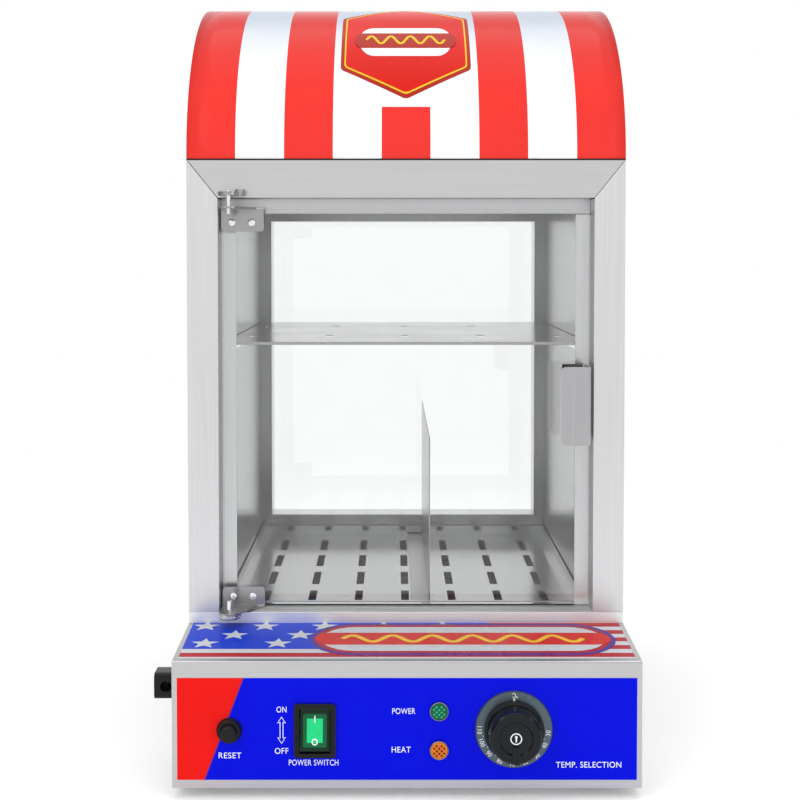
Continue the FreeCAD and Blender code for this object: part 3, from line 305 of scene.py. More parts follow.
finishes = {
    "steelUp": steel("brushedSteelUp", steelGrey, 0.3, upright),
    "steelAcross": steel("brushedSteelAcross", (0.55, 0.55, 0.56), 0.3, across),
    "steelSill": steel("brushedSteelSill", (0.88, 0.89, 0.89), 0.45, across),
    "steelBase": steel("brushedSteelBase", (0.52, 0.52, 0.525), 0.3, across),
    # The liner walls, back frame and divider use the bright liner steel made much darker than linerGrey:
    # painted shade inside the cabinet.
    "linerUp": steel("brightSteelUpPaintedShade", (0.34, 0.34, 0.35), 0.24, upright, 0.7, 0.05),
    "linerDeep": steel("brightSteelDeep", linerGrey, 0.16, deep, 0.7, 0.05),
    "linerAcross": steel("brightSteelAcross", (0.37, 0.37, 0.375), 0.12, across, 0.7, 0.05),
    "hinge": steel("satinSteel", (0.35, 0.35, 0.355), 0.22, across, 0.8, 0.06),
    "grip": steel("satinHandle", (0.44, 0.44, 0.45), 0.2, upright, 0.8, 0.06),
    "pin": steel("polishedSteel", (0.75, 0.75, 0.76), 0.1, (300, 300, 300), 0.5, 0.03),
    "zinc": steel("zincPlate", (0.6, 0.6, 0.57), 0.35, (120, 120, 120), 1.4, 0.08),
    "sheath": steel("heaterSheath", (0.4, 0.39, 0.38), 0.38, (200, 200, 200), 1.2, 0.1),
    "glass": clear("toughenedGlass", (0.99, 0.998, 0.995), 0.012),
    "seal": plastic("sealRubber", (0.03, 0.03, 0.03), 0.6),
    "foot": plastic("footRubber", (0.025, 0.025, 0.026), 0.7),
    "black": plastic("blackPlastic", (0.006, 0.006, 0.007), 0.3, dust=0.03, Specular_IOR_Level=0.2),
    "rubber": plastic("softBlackRubber", (0.007, 0.0075, 0.007), 0.4, dust=0.03, Specular_IOR_Level=0.2),
    "dial": plastic("dialPlastic", (0.002, 0.004, 0.006), 0.12, 2400.0, 0.04, 0.015, Specular_IOR_Level=0.25),
    "skirt": plastic("dialSkirtSatin", (0.085, 0.12, 0.138), 0.26, 2400.0, 0.06, Metallic=0.6),
    "white": plastic("whitePlastic", (0.8, 0.8, 0.78), 0.4),
    # Both roof paints change towards the top: the white turns blue-grey, a painted reflection, and the red
    # darkens, a painted shade.
    "roofWhite": ink("roofWhite", (0.93, 0.94, 0.95), 0.2, ((0.33, 0.40, 0.52), 0.565, 0.652)),
    "roofRed": ink("roofRed", (0.83, 0.042, 0.034), 0.2, ((0.52, 0.02, 0.016), 0.55, 0.66)),
    "endWhite": ink("roofEndWhite", (0.85, 0.86, 0.87), 0.3),
    "badgeRed": ink("badgeRed", (0.66, 0.018, 0.012), 0.25),
    "badgeDark": ink("badgeDark", (0.42, 0.03, 0.02), 0.25),
    "yellow": ink("yellowInk", (0.92, 0.55, 0.03)),
    "blue": ink("controlBlue", (0.0, 0.004, 0.7), 0.24),
    "red": ink("controlRed", (0.82, 0.01, 0.008), 0.24),
    "ledgeBlue": ink("ledgeBlue", (0.004, 0.045, 0.62)),
    "ledgeRed": ink("ledgeRed", (0.45, 0.012, 0.02)),
    "silver": ink("silverInk", (0.62, 0.64, 0.68)),
    "plum": ink("plumInk", (0.10, 0.03, 0.28)),
    "print": ink("whiteInk", (0.9, 0.92, 0.95), 0.4),
    "joint": ink("darkJoint", (0.02, 0.02, 0.02), 0.6),
    "greenShell": clear("smokedGreenPlastic", (0.004, 0.02, 0.01), 0.1, 1.49, ((0.0, 0.03, 0.012), 0.2), 0.0),
    "greenBody": clear("darkGreenPlastic", (0.002, 0.10, 0.035), 0.1, 1.49, ((0.0, 0.16, 0.05), 0.2), 0.0),
    "greenWindow": clear("litGreenPlastic", (0.01, 0.5, 0.18), 0.2, 1.49, ((0.01, 0.75, 0.22), 0.4), 0.1),
    "greenLens": clear("greenLens", (0.001, 0.13, 0.055), 0.05, 1.49, ((0.0, 0.14, 0.05), 0.1), 0.3),
    # Lens facets in a lighter green than the green lens, a painted highlight, and a darker brown than the
    # orange lens, a painted shade.
    "greenFacet": clear("greenFacet", (0.03, 0.5, 0.24), 0.05, 1.49, ((0.02, 0.5, 0.22), 0.25), 0.2),
    "orangeFacet": clear("orangeFacet", (0.20, 0.035, 0.002), 0.05, 1.49, ((0.2, 0.04, 0.0), 0.1), 0.2),
    "orangeLens": clear("orangeLens", (0.75, 0.19, 0.008), 0.05, 1.49, ((0.8, 0.2, 0.0), 0.22), 0.25),
}
print("finishes ready:", len(finishes))


# Mesh helpers.

def settledMesh(obj):
    return bpy.data.meshes.new_from_object(obj.evaluated_get(bpy.context.evaluated_depsgraph_get()))


def settle(obj):
    # Turns an object's live modifiers into a plain mesh.
    obj.data = settledMesh(obj)
    obj.modifiers.clear()
    return obj


def newObject(name, mesh, *materials):
    obj = bpy.data.objects.new(name, mesh)
    bpy.context.scene.collection.objects.link(obj)
    for material in materials:
        mesh.materials.append(finishes[material])
    return obj


def toMesh(work, name):
    mesh = bpy.data.meshes.new(name)
    work.to_mesh(mesh)
    work.free()
    return mesh


def mount(obj, body, slot, *replaced):
    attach(obj, body)
    if replaced:
        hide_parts(*replaced)
    pieceCount.append(obj.name)


def standFor(obj, node):
    # Mounts a piece in the place of one CAD node, on its body.
    mount(obj, nodes[node]["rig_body"], nodes[node].data.materials[0].name, node)


def weldedMesh(node):
    # The CAD mesh is loose triangles, so a copy is merged and its flat faces are joined up.
    source = nodes[node].data
    mesh = bpy.data.meshes.new(node + "Copy")
    mesh.from_pydata([v.co[:] for v in source.vertices], [], [p.vertices[:] for p in source.polygons])
    work = bmesh.new()
    work.from_mesh(mesh)
    bmesh.ops.remove_doubles(work, verts=work.verts, dist=2e-6)
    bmesh.ops.dissolve_limit(work, angle_limit=math.radians(0.5), verts=work.verts, edges=work.edges)
    work.to_mesh(mesh)
    work.free()
    return mesh


def camel(name):
    first, *rest = name.split("_")
    return first + "".join(word.capitalize() for word in rest)


def refine(node, finish, bevel):
    # A CAD piece with its edges broken, as a press brake or a mould leaves them. bevel is in millimetres.
    obj = newObject(camel(node), weldedMesh(node), finish)
    sharp = math.radians(30)
    obj.data.shade_smooth()
    if bevel:
        cutter = obj.modifiers.new("softEdge", "BEVEL")
        cutter.width, cutter.segments = bevel * mm, 2
        cutter.limit_method, cutter.angle_limit = "ANGLE", sharp
        cutter.harden_normals = cutter.use_clamp_overlap = True
    else:
        obj.data.set_sharp_from_angle(angle=sharp)
    standFor(settle(obj), node)


def solidCentres(node):
    # Middle and half size of each separate solid in a node.
    work = bmesh.new()
    work.from_mesh(weldedMesh(node))
    left, found = set(work.verts), []
    while left:
        group, queue = [], [left.pop()]
        while queue:
            vert = queue.pop()
            group.append(vert.co.copy())
            near = left.intersection(edge.other_vert(vert) for edge in vert.link_edges)
            left -= near
            queue += near
        low, high = (Vector([pick(co[i] for co in group) for i in range(3)]) for pick in (min, max))
        found.append(((low + high) / 2, (high - low) / 2))
    work.free()
    return sorted(found, key=lambda item: tuple(round(value, 4) for value in item[0]))


def cutFaces(work, spot, normal):
    bmesh.ops.bisect_plane(work, geom=work.verts[:] + work.edges[:] + work.faces[:], dist=1e-7,
                           plane_co=spot, plane_no=normal)


# Printed and thin pieces are drawn flat as (u, v), given a thickness, then laid on their surface by a mapper.

def layShape(name, outline, lay, low, high, finish, cuts=()):
    # outline: list of (u, v); cuts: values of v where the face needs an edge to bend.
    work = bmesh.new()
    bmesh.ops.contextual_create(work, geom=[work.verts.new((u, v, 0)) for u, v in outline])
    if not work.faces:
        work.faces.new(work.verts)
    bendAt(work, cuts)
    return layFaces(name, work, lay, low, high, finish)


def layFaces(name, work, lay, low, high, finish):
    raised = bmesh.ops.extrude_face_region(work, geom=work.faces[:])["geom"]
    top = {item for item in raised if isinstance(item, bmesh.types.BMVert)}
    for vert in work.verts:
        vert.co = lay(vert.co.x, vert.co.y, high if vert in top else low)
    bmesh.ops.recalc_face_normals(work, faces=work.faces)
    return newObject(name, toMesh(work, name), finish)


def bendAt(work, cuts):
    # Gives flat faces an edge at each of these values of v, so that they can follow a curve.
    for level in cuts:
        cutFaces(work, (0, level, 0), (0, 1, 0))


def ribbon(first, second, closed=False):
    # Faces between two lines of the same number of points.
    work = bmesh.new()
    first, second = ([work.verts.new((u, v, 0)) for u, v in line] for line in (first, second))
    for i in range(0 if closed else 1, len(first)):
        work.faces.new((first[i - 1], first[i], second[i], second[i - 1]))
    return work


def layRing(name, outer, inner, lay, low, high, finish, cuts=()):
    work = ribbon(outer, inner, closed=True)
    bendAt(work, cuts)
    return layFaces(name, work, lay, low, high, finish)


def layBand(name, points, width, lay, low, high, finish):
    # A ribbon of constant width along an open line.
    left, right = [], []
    for i, (u, v) in enumerate(points):
        before, after = points[max(i - 1, 0)], points[min(i + 1, len(points) - 1)]
        run = Vector((after[0] - before[0], after[1] - before[1])).normalized() * width / 2
        left.append((u - run.y, v + run.x))
        right.append((u + run.y, v - run.x))
    return layFaces(name, ribbon(left, right), lay, low, high, finish)


def circle(u, v, radius, count=48):
    turns = [math.tau * i / count for i in range(count)]
    return [(u + radius * math.cos(turn), v + radius * math.sin(turn)) for turn in turns]


def capsule(u, v, halfLength, radius, count=12, flat=1.0):
    points = []
    for side in (1, -1):
        for i in range(count + 1):
            turn = math.radians(-90 * side) + math.pi * i / count
            points.append((u + side * (halfLength - radius) + radius * math.cos(turn),
                           v + flat * radius * math.sin(turn)))
    return points


def rounded(corners, radius):
    # The same polygon with each corner turned into an arc.
    points = []
    steps = 6
    for i, corner in enumerate(corners):
        here = Vector(corner)
        before = (Vector(corners[i - 1]) - here).normalized()
        after = (Vector(corners[(i + 1) % len(corners)]) - here).normalized()
        reach = radius / math.tan(before.angle(after) / 2)
        start, end = here + before * reach, here + after * reach
        for step in range(steps + 1):
            share = step / steps
            points.append(tuple(start * (1 - share) ** 2 + here * 2 * share * (1 - share) + end * share ** 2))
    return points


def textMesh(words, height, length=None):
    # Lettering as filled faces, centred on its own middle, of the given capital height and overall length.
    curve = bpy.data.curves.new("lettering", "FONT")
    curve.body, curve.size, curve.space_character = words, 1, 1.07
    curve.align_x, curve.align_y = "CENTER", "CENTER"
    holder = bpy.data.objects.new("lettering", curve)
    bpy.context.scene.collection.objects.link(holder)
    bpy.context.view_layer.update()
    work = bmesh.new()
    work.from_mesh(settledMesh(holder))
    bpy.data.objects.remove(holder)
    bmesh.ops.remove_doubles(work, verts=work.verts, dist=1e-5)
    left, right = (pick(vert.co.x for vert in work.verts) for pick in (min, max))
    low, high = (pick(vert.co.y for vert in work.verts) for pick in (min, max))
    tall = height / (high - low)
    wide = length / (right - left) if length else tall * 0.9
    for vert in work.verts:
        vert.co = ((vert.co.x - (left + right) / 2) * wide, (vert.co.y - (low + high) / 2) * tall, 0)
    return work


def layText(words, u, v, height, lay, low, high, finish, turn=0.0, length=None):
    work = textMesh(words, height, length)
    placing = Matrix.Translation((u, v, 0)) @ Matrix.Rotation(turn, 4, "Z")
    bmesh.ops.transform(work, matrix=placing, verts=work.verts)
    return layFaces("lettering", work, lay, low, high, finish)


def joinUp(name, parts):
    # One piece out of several meshes that share a finish list.
    work = bmesh.new()
    materials = list(dict.fromkeys(material for part in parts for material in part.data.materials))
    for part in parts:
        before = len(work.faces)
        work.from_mesh(part.data)
        work.faces.ensure_lookup_table()
        for face in work.faces[before:]:
            face.material_index = materials.index(part.data.materials[face.material_index])
        bpy.data.objects.remove(part)
    joined = newObject(name, toMesh(work, name))
    for material in materials:
        joined.data.materials.append(material)
    return joined


def surfaceUnder(node):
    # Mapper that drops a point, seen from the front, onto a node and lifts it off again by its height.
    source = nodes[node].data
    tree = BVHTree.FromPolygons([v.co for v in source.vertices], [p.vertices[:] for p in source.polygons])
    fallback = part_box(node)[0].y

    def lay(u, v, lift):
        hit = tree.ray_cast(Vector((u, -1, v)), Vector((0, 1, 0)))[0]
        return Vector((u, (hit.y if hit else fallback) - lift, v))

    return lay


# Sheet metal and other CAD pieces, each with its own finish and a broken edge.

brokenEdges = [
    # finish, bevel in millimetres, nodes
    ("steelUp", 0.5, "front_post_left front_post_right"), ("steelAcross", 0.5, "top_rail"),
    ("steelUp", 0.2, "side_panel_left side_panel_right"), ("steelBase", 0.35, "base_housing"),
    ("steelSill", 0.4, "sill_strip"), ("steelAcross", 0.2, "base_bottom_plate cabinet_top_plate"),
    ("steelUp", 0.3, "rear_panel rear_reveal"), ("seal", 0.4, "rear_glass_seal"),
    ("linerUp", 0.1, "inner_wall_left inner_wall_right"), ("linerAcross", 0.1, "ceiling_panel"),
    ("linerUp", 0.2, "back_frame"), ("linerAcross", 0.25, "water_pan"),
    ("linerAcross", 0.22, "perforated_tray shelf"), ("linerDeep", 0.25, "shelf_supports"),
    ("linerUp", 0.22, "divider"), ("hinge", 0.3, "lower_hinge_leaf upper_hinge_leaf"),
    ("hinge", 0.25, "hinge_backing_plates"), ("hinge", 0.3, "lower_hinge_bracket upper_hinge_bracket"),
    ("pin", 0.3, "lower_hinge_pin upper_hinge_pin"), ("pin", 0.25, "hinge_washers"),
    ("grip", 0.3, "door_handle"), ("sheath", 0, "heating_element"), ("sheath", 0.3, "thermostat_probe"),
    ("white", 0.4, "terminal_block"),
    ("zinc", 0.4, "thermostat_body"), ("foot", 0.5, "rubber_feet"),
    ("endWhite", 0.2, "roof_end_left roof_end_right"),
    ("glass", 0.6, "door_glass"), ("glass", 0.4, "rear_glass"),
    ("rubber", 0.5, "reset_cutout"), ("rubber", 0.9, "reset_button"), ("black", 1.6, "cord_gland"),
    ("skirt", 0.3, "dial_skirt"), ("dial", 0.6, "knob"), ("greenShell", 0.5, "rocker"),
    ("black", 0.5, "rocker_housing"),
]

for finish, bevel, sharing in brokenEdges:
    for nodeName in sharing.split():
        refine(nodeName, finish, bevel)
print("sheet metal, glass and mouldings:", len(pieceCount))


# Barrel roof: a geometry tree bends a grid over half an ellipse and paints the stripes.

roof = {
    "stripes": 9,
    "perStripe": 2,           # columns of faces in each stripe
    "rows": 128,
    "sheet": 0.0012,
    "patchTop": 0.0435,       # the middle stripe ends this far above the eaves
    "edgeLine": 0.0009,
}
roofLeft, roofRight, roofFront, roofBack, roofLow, roofTop = edges("roof_cover")
roofMiddle = (roofFront + roofBack) / 2
roofDeep = (roofBack - roofFront) / 2
roofRise = roofTop - roofLow


def geometryTree(name, **sockets):
    # sockets: a list of input labels for each socket type, after the geometry itself.
    inputs = {"Geometry": ("Geometry", None)}
    for socketType, labels in sockets.items():
        inputs |= {label: (socketType, None) for label in labels}
    return sharedGroup(name, "GeometryNodeTree", inputs, "Geometry", "Geometry")


def painted(tree, geometry, material):
    # The last steps of every tree: instances made real, then their material.
    real = add(tree, "GeometryNodeRealizeInstances", {"Geometry": geometry}).outputs[0]
    return add(tree, "GeometryNodeSetMaterial", {"Geometry": real, "Material": material}).outputs[0]


def copiesAt(tree, mesh, instance, **placing):
    # One instance on each vertex of a mesh.
    points = add(tree, "GeometryNodeMeshToPoints", {"Mesh": mesh}).outputs[0]
    placing |= {"Points": points, "Instance": instance}
    return add(tree, "GeometryNodeInstanceOnPoints", placing).outputs[0]


def runTree(obj, tree, **values):
    # The inputs are set by identifier before the object is first evaluated, then the result is made plain.
    modifier = obj.modifiers.new(tree.name, "NODES")
    modifier.node_group = tree
    for item in tree.interface.items_tree:
        key = item.name.replace(" ", "_")
        if item.in_out == "INPUT" and key in values:
            modifier[item.identifier] = values[key]
    return settle(obj)


def makeRoofTree():
    tree, given, out = geometryTree(
        "barrelRoof", Float=["Width", "Half Depth", "Rise", "Middle", "Base", "Patch Top"],
        Int=["Stripes", "Columns", "Rows"], Material=["Field", "Stripe"])
    grid = add(tree, "GeometryNodeMeshGrid", {
        "Size X": given["Width"], "Size Y": math.pi,
        "Vertices X": given["Columns"], "Vertices Y": given["Rows"]})
    flat = add(tree, "ShaderNodeSeparateXYZ", {0: add(tree, "GeometryNodeInputPosition").outputs[0]})
    turn = maths(tree, "ADD", flat.outputs["Y"], math.pi / 2)
    along = maths(tree, "MULTIPLY", maths(tree, "COSINE", turn), given["Half Depth"])
    y = maths(tree, "SUBTRACT", given["Middle"], along)
    z = maths(tree, "ADD", given["Base"], maths(tree, "MULTIPLY", maths(tree, "SINE", turn), given["Rise"]))
    bent = add(tree, "GeometryNodeSetPosition", {
        "Geometry": grid.outputs["Mesh"],
        "Position": add(tree, "ShaderNodeCombineXYZ", {"X": flat.outputs["X"], "Y": y, "Z": z}).outputs[0]})
    now = add(tree, "ShaderNodeSeparateXYZ", {0: add(tree, "GeometryNodeInputPosition").outputs[0]})
    share = maths(tree, "ADD", maths(tree, "DIVIDE", now.outputs["X"], given["Width"]), 0.5)
    index = maths(tree, "FLOOR", maths(tree, "MULTIPLY", share, given["Stripes"]))
    even = maths(tree, "LESS_THAN", maths(tree, "MODULO", index, 2.0), 0.5)
    halfway = maths(tree, "FLOOR", maths(tree, "DIVIDE", given["Stripes"], 2.0))
    centre = maths(tree, "COMPARE", index, halfway, 0.1)
    height = maths(tree, "SUBTRACT", now.outputs["Z"], given["Base"])
    above = maths(tree, "GREATER_THAN", height, given["Patch Top"])
    striped = maths(tree, "SUBTRACT", even, maths(tree, "MULTIPLY", centre, above))
    shaded = add(tree, "GeometryNodeSetShadeSmooth", {"Geometry": bent.outputs[0]}).outputs[0]
    red = add(tree, "GeometryNodeSetMaterial", {
        "Geometry": painted(tree, shaded, given["Field"]), "Selection": striped, "Material": given["Stripe"]})
    tree.links.new(red.outputs[0], out)
    return tree


def makeRoof():
    skin = newObject("roofSkin", bpy.data.meshes.new("roofSkin"))
    runTree(skin, makeRoofTree(), Width=roofRight - roofLeft, Half_Depth=roofDeep, Rise=roofRise,
            Middle=roofMiddle, Base=roofLow, Stripes=roof["stripes"],
            Columns=roof["stripes"] * roof["perStripe"] + 1, Rows=roof["rows"] + 1,
            Patch_Top=roof["patchTop"], Field=finishes["roofWhite"], Stripe=finishes["roofRed"])
    thick = skin.modifiers.new("sheet", "SOLIDIFY")
    thick.thickness, thick.offset = roof["sheet"], -1
    mount(settle(skin), "cabinet", "roof_paint", "roof_cover")


def onRoof(u, turn, lift):
    # u across, turn up and over the roof from the front eaves, in radians.
    out = Vector((0, -roofRise * math.cos(turn), roofDeep * math.sin(turn))).normalized()
    spot = Vector((u, roofMiddle - roofDeep * math.cos(turn), roofLow + roofRise * math.sin(turn)))
    return spot + out * lift


makeRoof()


# Badge on the roof: a hexagon shield with an inset line and a plain hot dog picture.

badge = {
    "halfWidth": 0.0545,
    "turns": (19.5, 30.6, 60.0, 76.0),     # bottom point, lower and upper corners, top point, in degrees
    "reach": 0.17,                         # length along the roof for each radian of turn, near the badge
    "round": 0.11,
    "border": 0.055,                       # share of the shield taken by the dark rim, and the line inside it
    "line": 0.022,
    "lift": 0.00012,
    "pictureTurn": 44.0,
    "pictureHalf": 0.043,
    "pictureTall": 1.75,                   # how much taller the picture is than the plain one
}


def badgeOutline(scale):
    low, lower, upper, high = (math.radians(value) for value in badge["turns"])
    centre, half = (low + high) / 2, badge["halfWidth"] * scale
    corners = [(0, low), (half, lower), (half, upper), (0, high), (-half, upper), (-half, lower)]
    # Corners are rounded in a space where both directions are lengths.
    reach = badge["reach"]
    lengths = [(u, (centre + (turn - centre) * scale) * reach) for u, turn in corners]
    return [(u, v / reach) for u, v in rounded(lengths, badge["round"] * badge["halfWidth"])]


def makeBadge():
    cuts = [math.radians(value) for value in range(18, 80, 2)]
    lift = badge["lift"]
    rim = badgeOutline(1 - badge["border"])
    field = badgeOutline(1 - badge["border"] - badge["line"])
    for piece in (layShape("badgeFace", badgeOutline(1.0), onRoof, -lift, 2 * lift, "badgeDark", cuts),
                  layShape("badgeField", field, onRoof, 0, 3 * lift, "badgeRed", cuts),
                  layRing("badgeLine", rim, field, onRoof, 0, 4 * lift, "yellow", cuts)):
        mount(piece, "cabinet", "roof_paint")


def mustard(name, u, v, length, swing, waves, width, steps, *film):
    # A wavy line along a sausage, centred on (u, v).
    wave = []
    for i in range(steps + 1):
        share = i / steps
        wave.append((u + (share - 0.5) * length, v + swing * math.sin(share * math.tau * waves)))
    return layBand(name, wave, width, *film)


def makeBadgePicture():
    # Side-on picture of a sausage in a bun, in layers.
    half, tall, lift = badge["pictureHalf"], badge["pictureTall"], 3.2 * badge["lift"]
    middleTurn = math.radians(badge["pictureTurn"])
    thick = half * 0.30
    cuts = [i * 0.005 for i in range(-9, 10)]

    def lay(u, v, rise):
        return onRoof(u, middleTurn + v / badge["reach"], rise)

    mount(joinUp("badgePicture", [
        layShape("bun", capsule(0, 0, half * 0.92, thick, flat=tall), lay, 0, lift * 2, "print", cuts),
        layShape("sausage", capsule(0, 0, half, thick * 0.52, flat=tall), lay, lift, lift * 3, "badgeDark",
                 cuts),
        mustard("mustard", 0, 0, 1.55 * half, tall * thick * 0.26, 4, thick * 0.17, 60,
                lay, lift * 2, lift * 4, "yellow"),
    ]), "cabinet", "roof_paint")


makeBadge()
makeBadgePicture()
print("roof and badge done")


# Dark line where the roof sits on the cabinet.

def makeEavesLine():
    left, right, front = edges("top_rail")[:3]
    high = edges("top_rail")[5]
    bottom, top = high - roof["edgeLine"], high + roof["edgeLine"] * 0.4
    outline = [(left, bottom), (right, bottom), (right, top), (left, top)]

    def lay(u, v, lift):
        return Vector((u, front - lift, v))

    mount(layShape("eavesLine", outline, lay, -0.0002, 0.00012, "joint"), "cabinet", "seal_rubber")


makeEavesLine()


# Control film: the blue sheet is cut along a slanted line and its left end printed red.

controlFilm = {
    "slantTop": -0.125, "slantLow": -0.155, "border": 0.0008,
    "printSunk": -0.00005, "printRaised": 0.00012,
}
filmFace, filmLow, filmHigh = (edges("control_overlay")[i] for i in (2, 4, 5))


def onFilm(u, v, lift):
    return Vector((u, filmFace - lift, v))


def makeControlFilm():
    work = bmesh.new()
    work.from_mesh(weldedMesh("control_overlay"))
    low = Vector((controlFilm["slantLow"], 0, filmLow))
    high = Vector((controlFilm["slantTop"], 0, filmHigh))
    normal = Vector((high.z - low.z, 0, low.x - high.x))
    cutFaces(work, low, normal)
    for face in work.faces:
        face.material_index = int((face.calc_center_median() - low).dot(normal) < 0)
    mount(newObject("controlFilm", toMesh(work, "controlFilm"), "blue", "red"),
          "cabinet", "control_film", "control_overlay")
    return layBand("filmSlantLine", [(low.x, low.z), (high.x, high.z)], controlFilm["border"], onFilm,
                   0, controlFilm["printRaised"] / 2, "plum")


labels = {
    # words: (across, height of the middle above the film's bottom edge, length)
    "RESET": (-0.1355, 0.0190, 0.0173),
    "ON": (-0.096, 0.0545, 0.0077),
    "OFF": (-0.096, 0.0225, 0.0104),
    "POWER SWITCH": (-0.0715, 0.0135, 0.0379),
    "POWER": (-0.0025, 0.0533, 0.0176),
    "HEAT": (-0.0045, 0.0235, 0.0145),
    "TEMP. SELECTION": (0.139, 0.0118, 0.0500),
}
capitalHeight = 0.0045
arrow = {"place": (-0.096, 0.0385), "half": 0.0098, "head": 0.0026, "shaft": 0.0009, "line": 0.0005}


def makeLabels(parts):
    film = (onFilm, controlFilm["printSunk"], controlFilm["printRaised"], "print")
    for words, (u, v, length) in labels.items():
        parts.append(layText(words, u, filmLow + v, capitalHeight, *film, length=length))
    # Arrow with a head at each end, drawn as an outline.
    u, v = arrow["place"]
    half, head, shaft = arrow["half"], arrow["head"], arrow["shaft"]

    def outline(grow):
        right = [(0, half + grow * 1.6), (head + grow * 1.4, half - head * 1.5 - grow),
                 (shaft + grow, half - head * 1.3 - grow)]
        right += [(x, -y) for x, y in reversed(right)]
        left = [(-x, y) for x, y in reversed(right) if x > 0]
        return [(u + x, filmLow + v + y) for x, y in right + left]

    parts.append(layRing("arrow", outline(arrow["line"]), outline(0), *film))
    mount(joinUp("controlPrint", parts), "cabinet", "control_film")


makeLabels([makeControlFilm()])
print("control film printed")


# Sloping ledge: stripes, a blue field with stars from a geometry tree, and a hot dog picture.

ledge = {
    "bands": 9,                # red and white in turn, from the front edge
    "frontEdge": 0.035,        # share of the depth left plain at the front
    "fieldFrom": 2,            # the blue field covers the bands from this one back
    "fieldRight": 0.069,
    "lift": 0.00008,
    "starRadius": 0.0115,
    "starInner": 0.42,
    # rows of stars: share of the depth, first place across, pitch, how many
    "rows": [(0.40, -0.160, 0.058, 2), (0.64, -0.1385, 0.053, 2), (0.90, -0.164, 0.0485, 5)],
}
ledgeLeft, ledgeRight, ledgeFront, ledgeBack = edges("ledge_overlay")[:4]


def ledgePlane():
    # Front and back edges of the film's upper face.
    points = [v.co for v in nodes["ledge_overlay"].data.vertices]
    front = max((p for p in points if p.y < ledgeFront + 0.002), key=lambda p: p.z)
    back = max((p for p in points if p.y > ledgeBack - 0.002), key=lambda p: p.z)
    return Vector((0, front.y, front.z)), Vector((0, back.y, back.z))


ledgeStart, ledgeEnd = ledgePlane()
ledgeUp = (ledgeEnd - ledgeStart).cross(Vector((-1, 0, 0))).normalized()
ledgeDeep = (ledgeEnd - ledgeStart).length


def onLedge(u, v, lift):
    # v is the distance back from the front edge, along the slope.
    return ledgeStart.lerp(ledgeEnd, v / ledgeDeep) + Vector((u, 0, 0)) + ledgeUp * lift


def makeStarTree():
    tree, given, out = geometryTree("starField", Float=["Radius", "Inner", "Thickness", "Tilt"],
                                    Material=["Ink"])
    disc = add(tree, "GeometryNodeMeshCircle", {"Vertices": 10, "Radius": given["Radius"]}, fill_type="NGON")
    odd = maths(tree, "MODULO", add(tree, "GeometryNodeInputIndex").outputs[0], 2.0)
    less = maths(tree, "MULTIPLY", odd, maths(tree, "SUBTRACT", 1.0, given["Inner"]))
    scale = maths(tree, "SUBTRACT", 1.0, less)
    spot = add(tree, "GeometryNodeInputPosition").outputs[0]
    pulled = add(tree, "ShaderNodeVectorMath", {0: spot, "Scale": scale}, operation="SCALE").outputs[0]
    star = add(tree, "GeometryNodeSetPosition", {"Geometry": disc.outputs["Mesh"], "Position": pulled})
    stood = add(tree, "GeometryNodeTransform", {
        "Geometry": star.outputs[0], "Rotation": (0, 0, math.radians(90))})
    raised = add(tree, "GeometryNodeExtrudeMesh", {
        "Mesh": stood.outputs[0], "Offset Scale": given["Thickness"], "Individual": False})
    turn = add(tree, "ShaderNodeCombineXYZ", {"X": given["Tilt"]}).outputs[0]
    copies = copiesAt(tree, given["Geometry"], raised.outputs["Mesh"], Rotation=turn)
    tree.links.new(painted(tree, copies, given["Ink"]), out)
    return tree


def pointMesh(name, points):
    mesh = bpy.data.meshes.new(name)
    mesh.from_pydata(points, [], [])
    return newObject(name, mesh)


def makeLedgePrint():
    lift = ledge["lift"]
    left, right, edge = ledgeLeft, ledgeRight, ledge["fieldRight"]
    start = ledge["frontEdge"] * ledgeDeep
    levels = [start + i * (ledgeDeep - start) / ledge["bands"] for i in range(ledge["bands"] + 1)]
    parts = []
    for low, high in zip(levels[::2], levels[1::2]):
        parts.append(layShape("redBand", [(left, low), (right, low), (right, high), (left, high)],
                              onLedge, -lift, lift, "ledgeRed"))
    fieldLow = levels[ledge["fieldFrom"]]
    field = [(left, fieldLow), (edge - 0.14, fieldLow), (edge, levels[-2]), (edge, ledgeDeep),
             (left, ledgeDeep)]
    parts.append(layShape("blueField", field, onLedge, 0, 2 * lift, "ledgeBlue"))
    mount(joinUp("ledgeStripes", parts), "cabinet", "ledge_film")
    places = [onLedge(first + i * pitch, depth * ledgeDeep, 2 * lift)
              for depth, first, pitch, count in ledge["rows"] for i in range(count)]
    slope = math.atan2(ledgeEnd.z - ledgeStart.z, ledgeEnd.y - ledgeStart.y)
    stars = runTree(pointMesh("ledgeStars", places), makeStarTree(), Radius=ledge["starRadius"],
                    Inner=ledge["starInner"], Thickness=lift, Tilt=slope, Ink=finishes["silver"])
    mount(stars, "cabinet", "ledge_film")


ledgePicture = {"place": (0.045, 0.0425), "halfLength": 0.113, "radius": 0.0275, "outline": 0.0045}


def makeLedgePicture():
    lift = ledge["lift"]
    u, v = ledgePicture["place"]
    half, radius, grow = (ledgePicture[key] for key in ("halfLength", "radius", "outline"))
    rims = [("plum", 2 * grow, 3), ("ledgeRed", grow, 4), ("silver", 0, 5)]
    parts = [layShape("rim", capsule(u, v, half + extra, radius + extra), onLedge,
                      (layer - 1) * lift, layer * lift, inkName) for inkName, extra, layer in rims]
    parts.append(layShape("sausage", capsule(u, v, half + grow * 1.2, radius * 0.5), onLedge,
                          5 * lift, 6 * lift, "badgeRed"))
    parts.append(mustard("mustard", u, v, 1.7 * half, radius * 0.26, 6, radius * 0.16, 96,
                         onLedge, 6 * lift, 7 * lift, "yellow"))
    mount(joinUp("ledgePicture", parts), "cabinet", "ledge_film")


def makeLedgeSheet():
    sheet = newObject("ledgeSheet", weldedMesh("ledge_overlay"), "silver")
    mount(sheet, "cabinet", "ledge_film", "ledge_overlay")


makeLedgeSheet()
makeLedgePrint()
makeLedgePicture()
print("ledge printed")


# Screws and rivets: one master of each, set on points by a geometry tree.

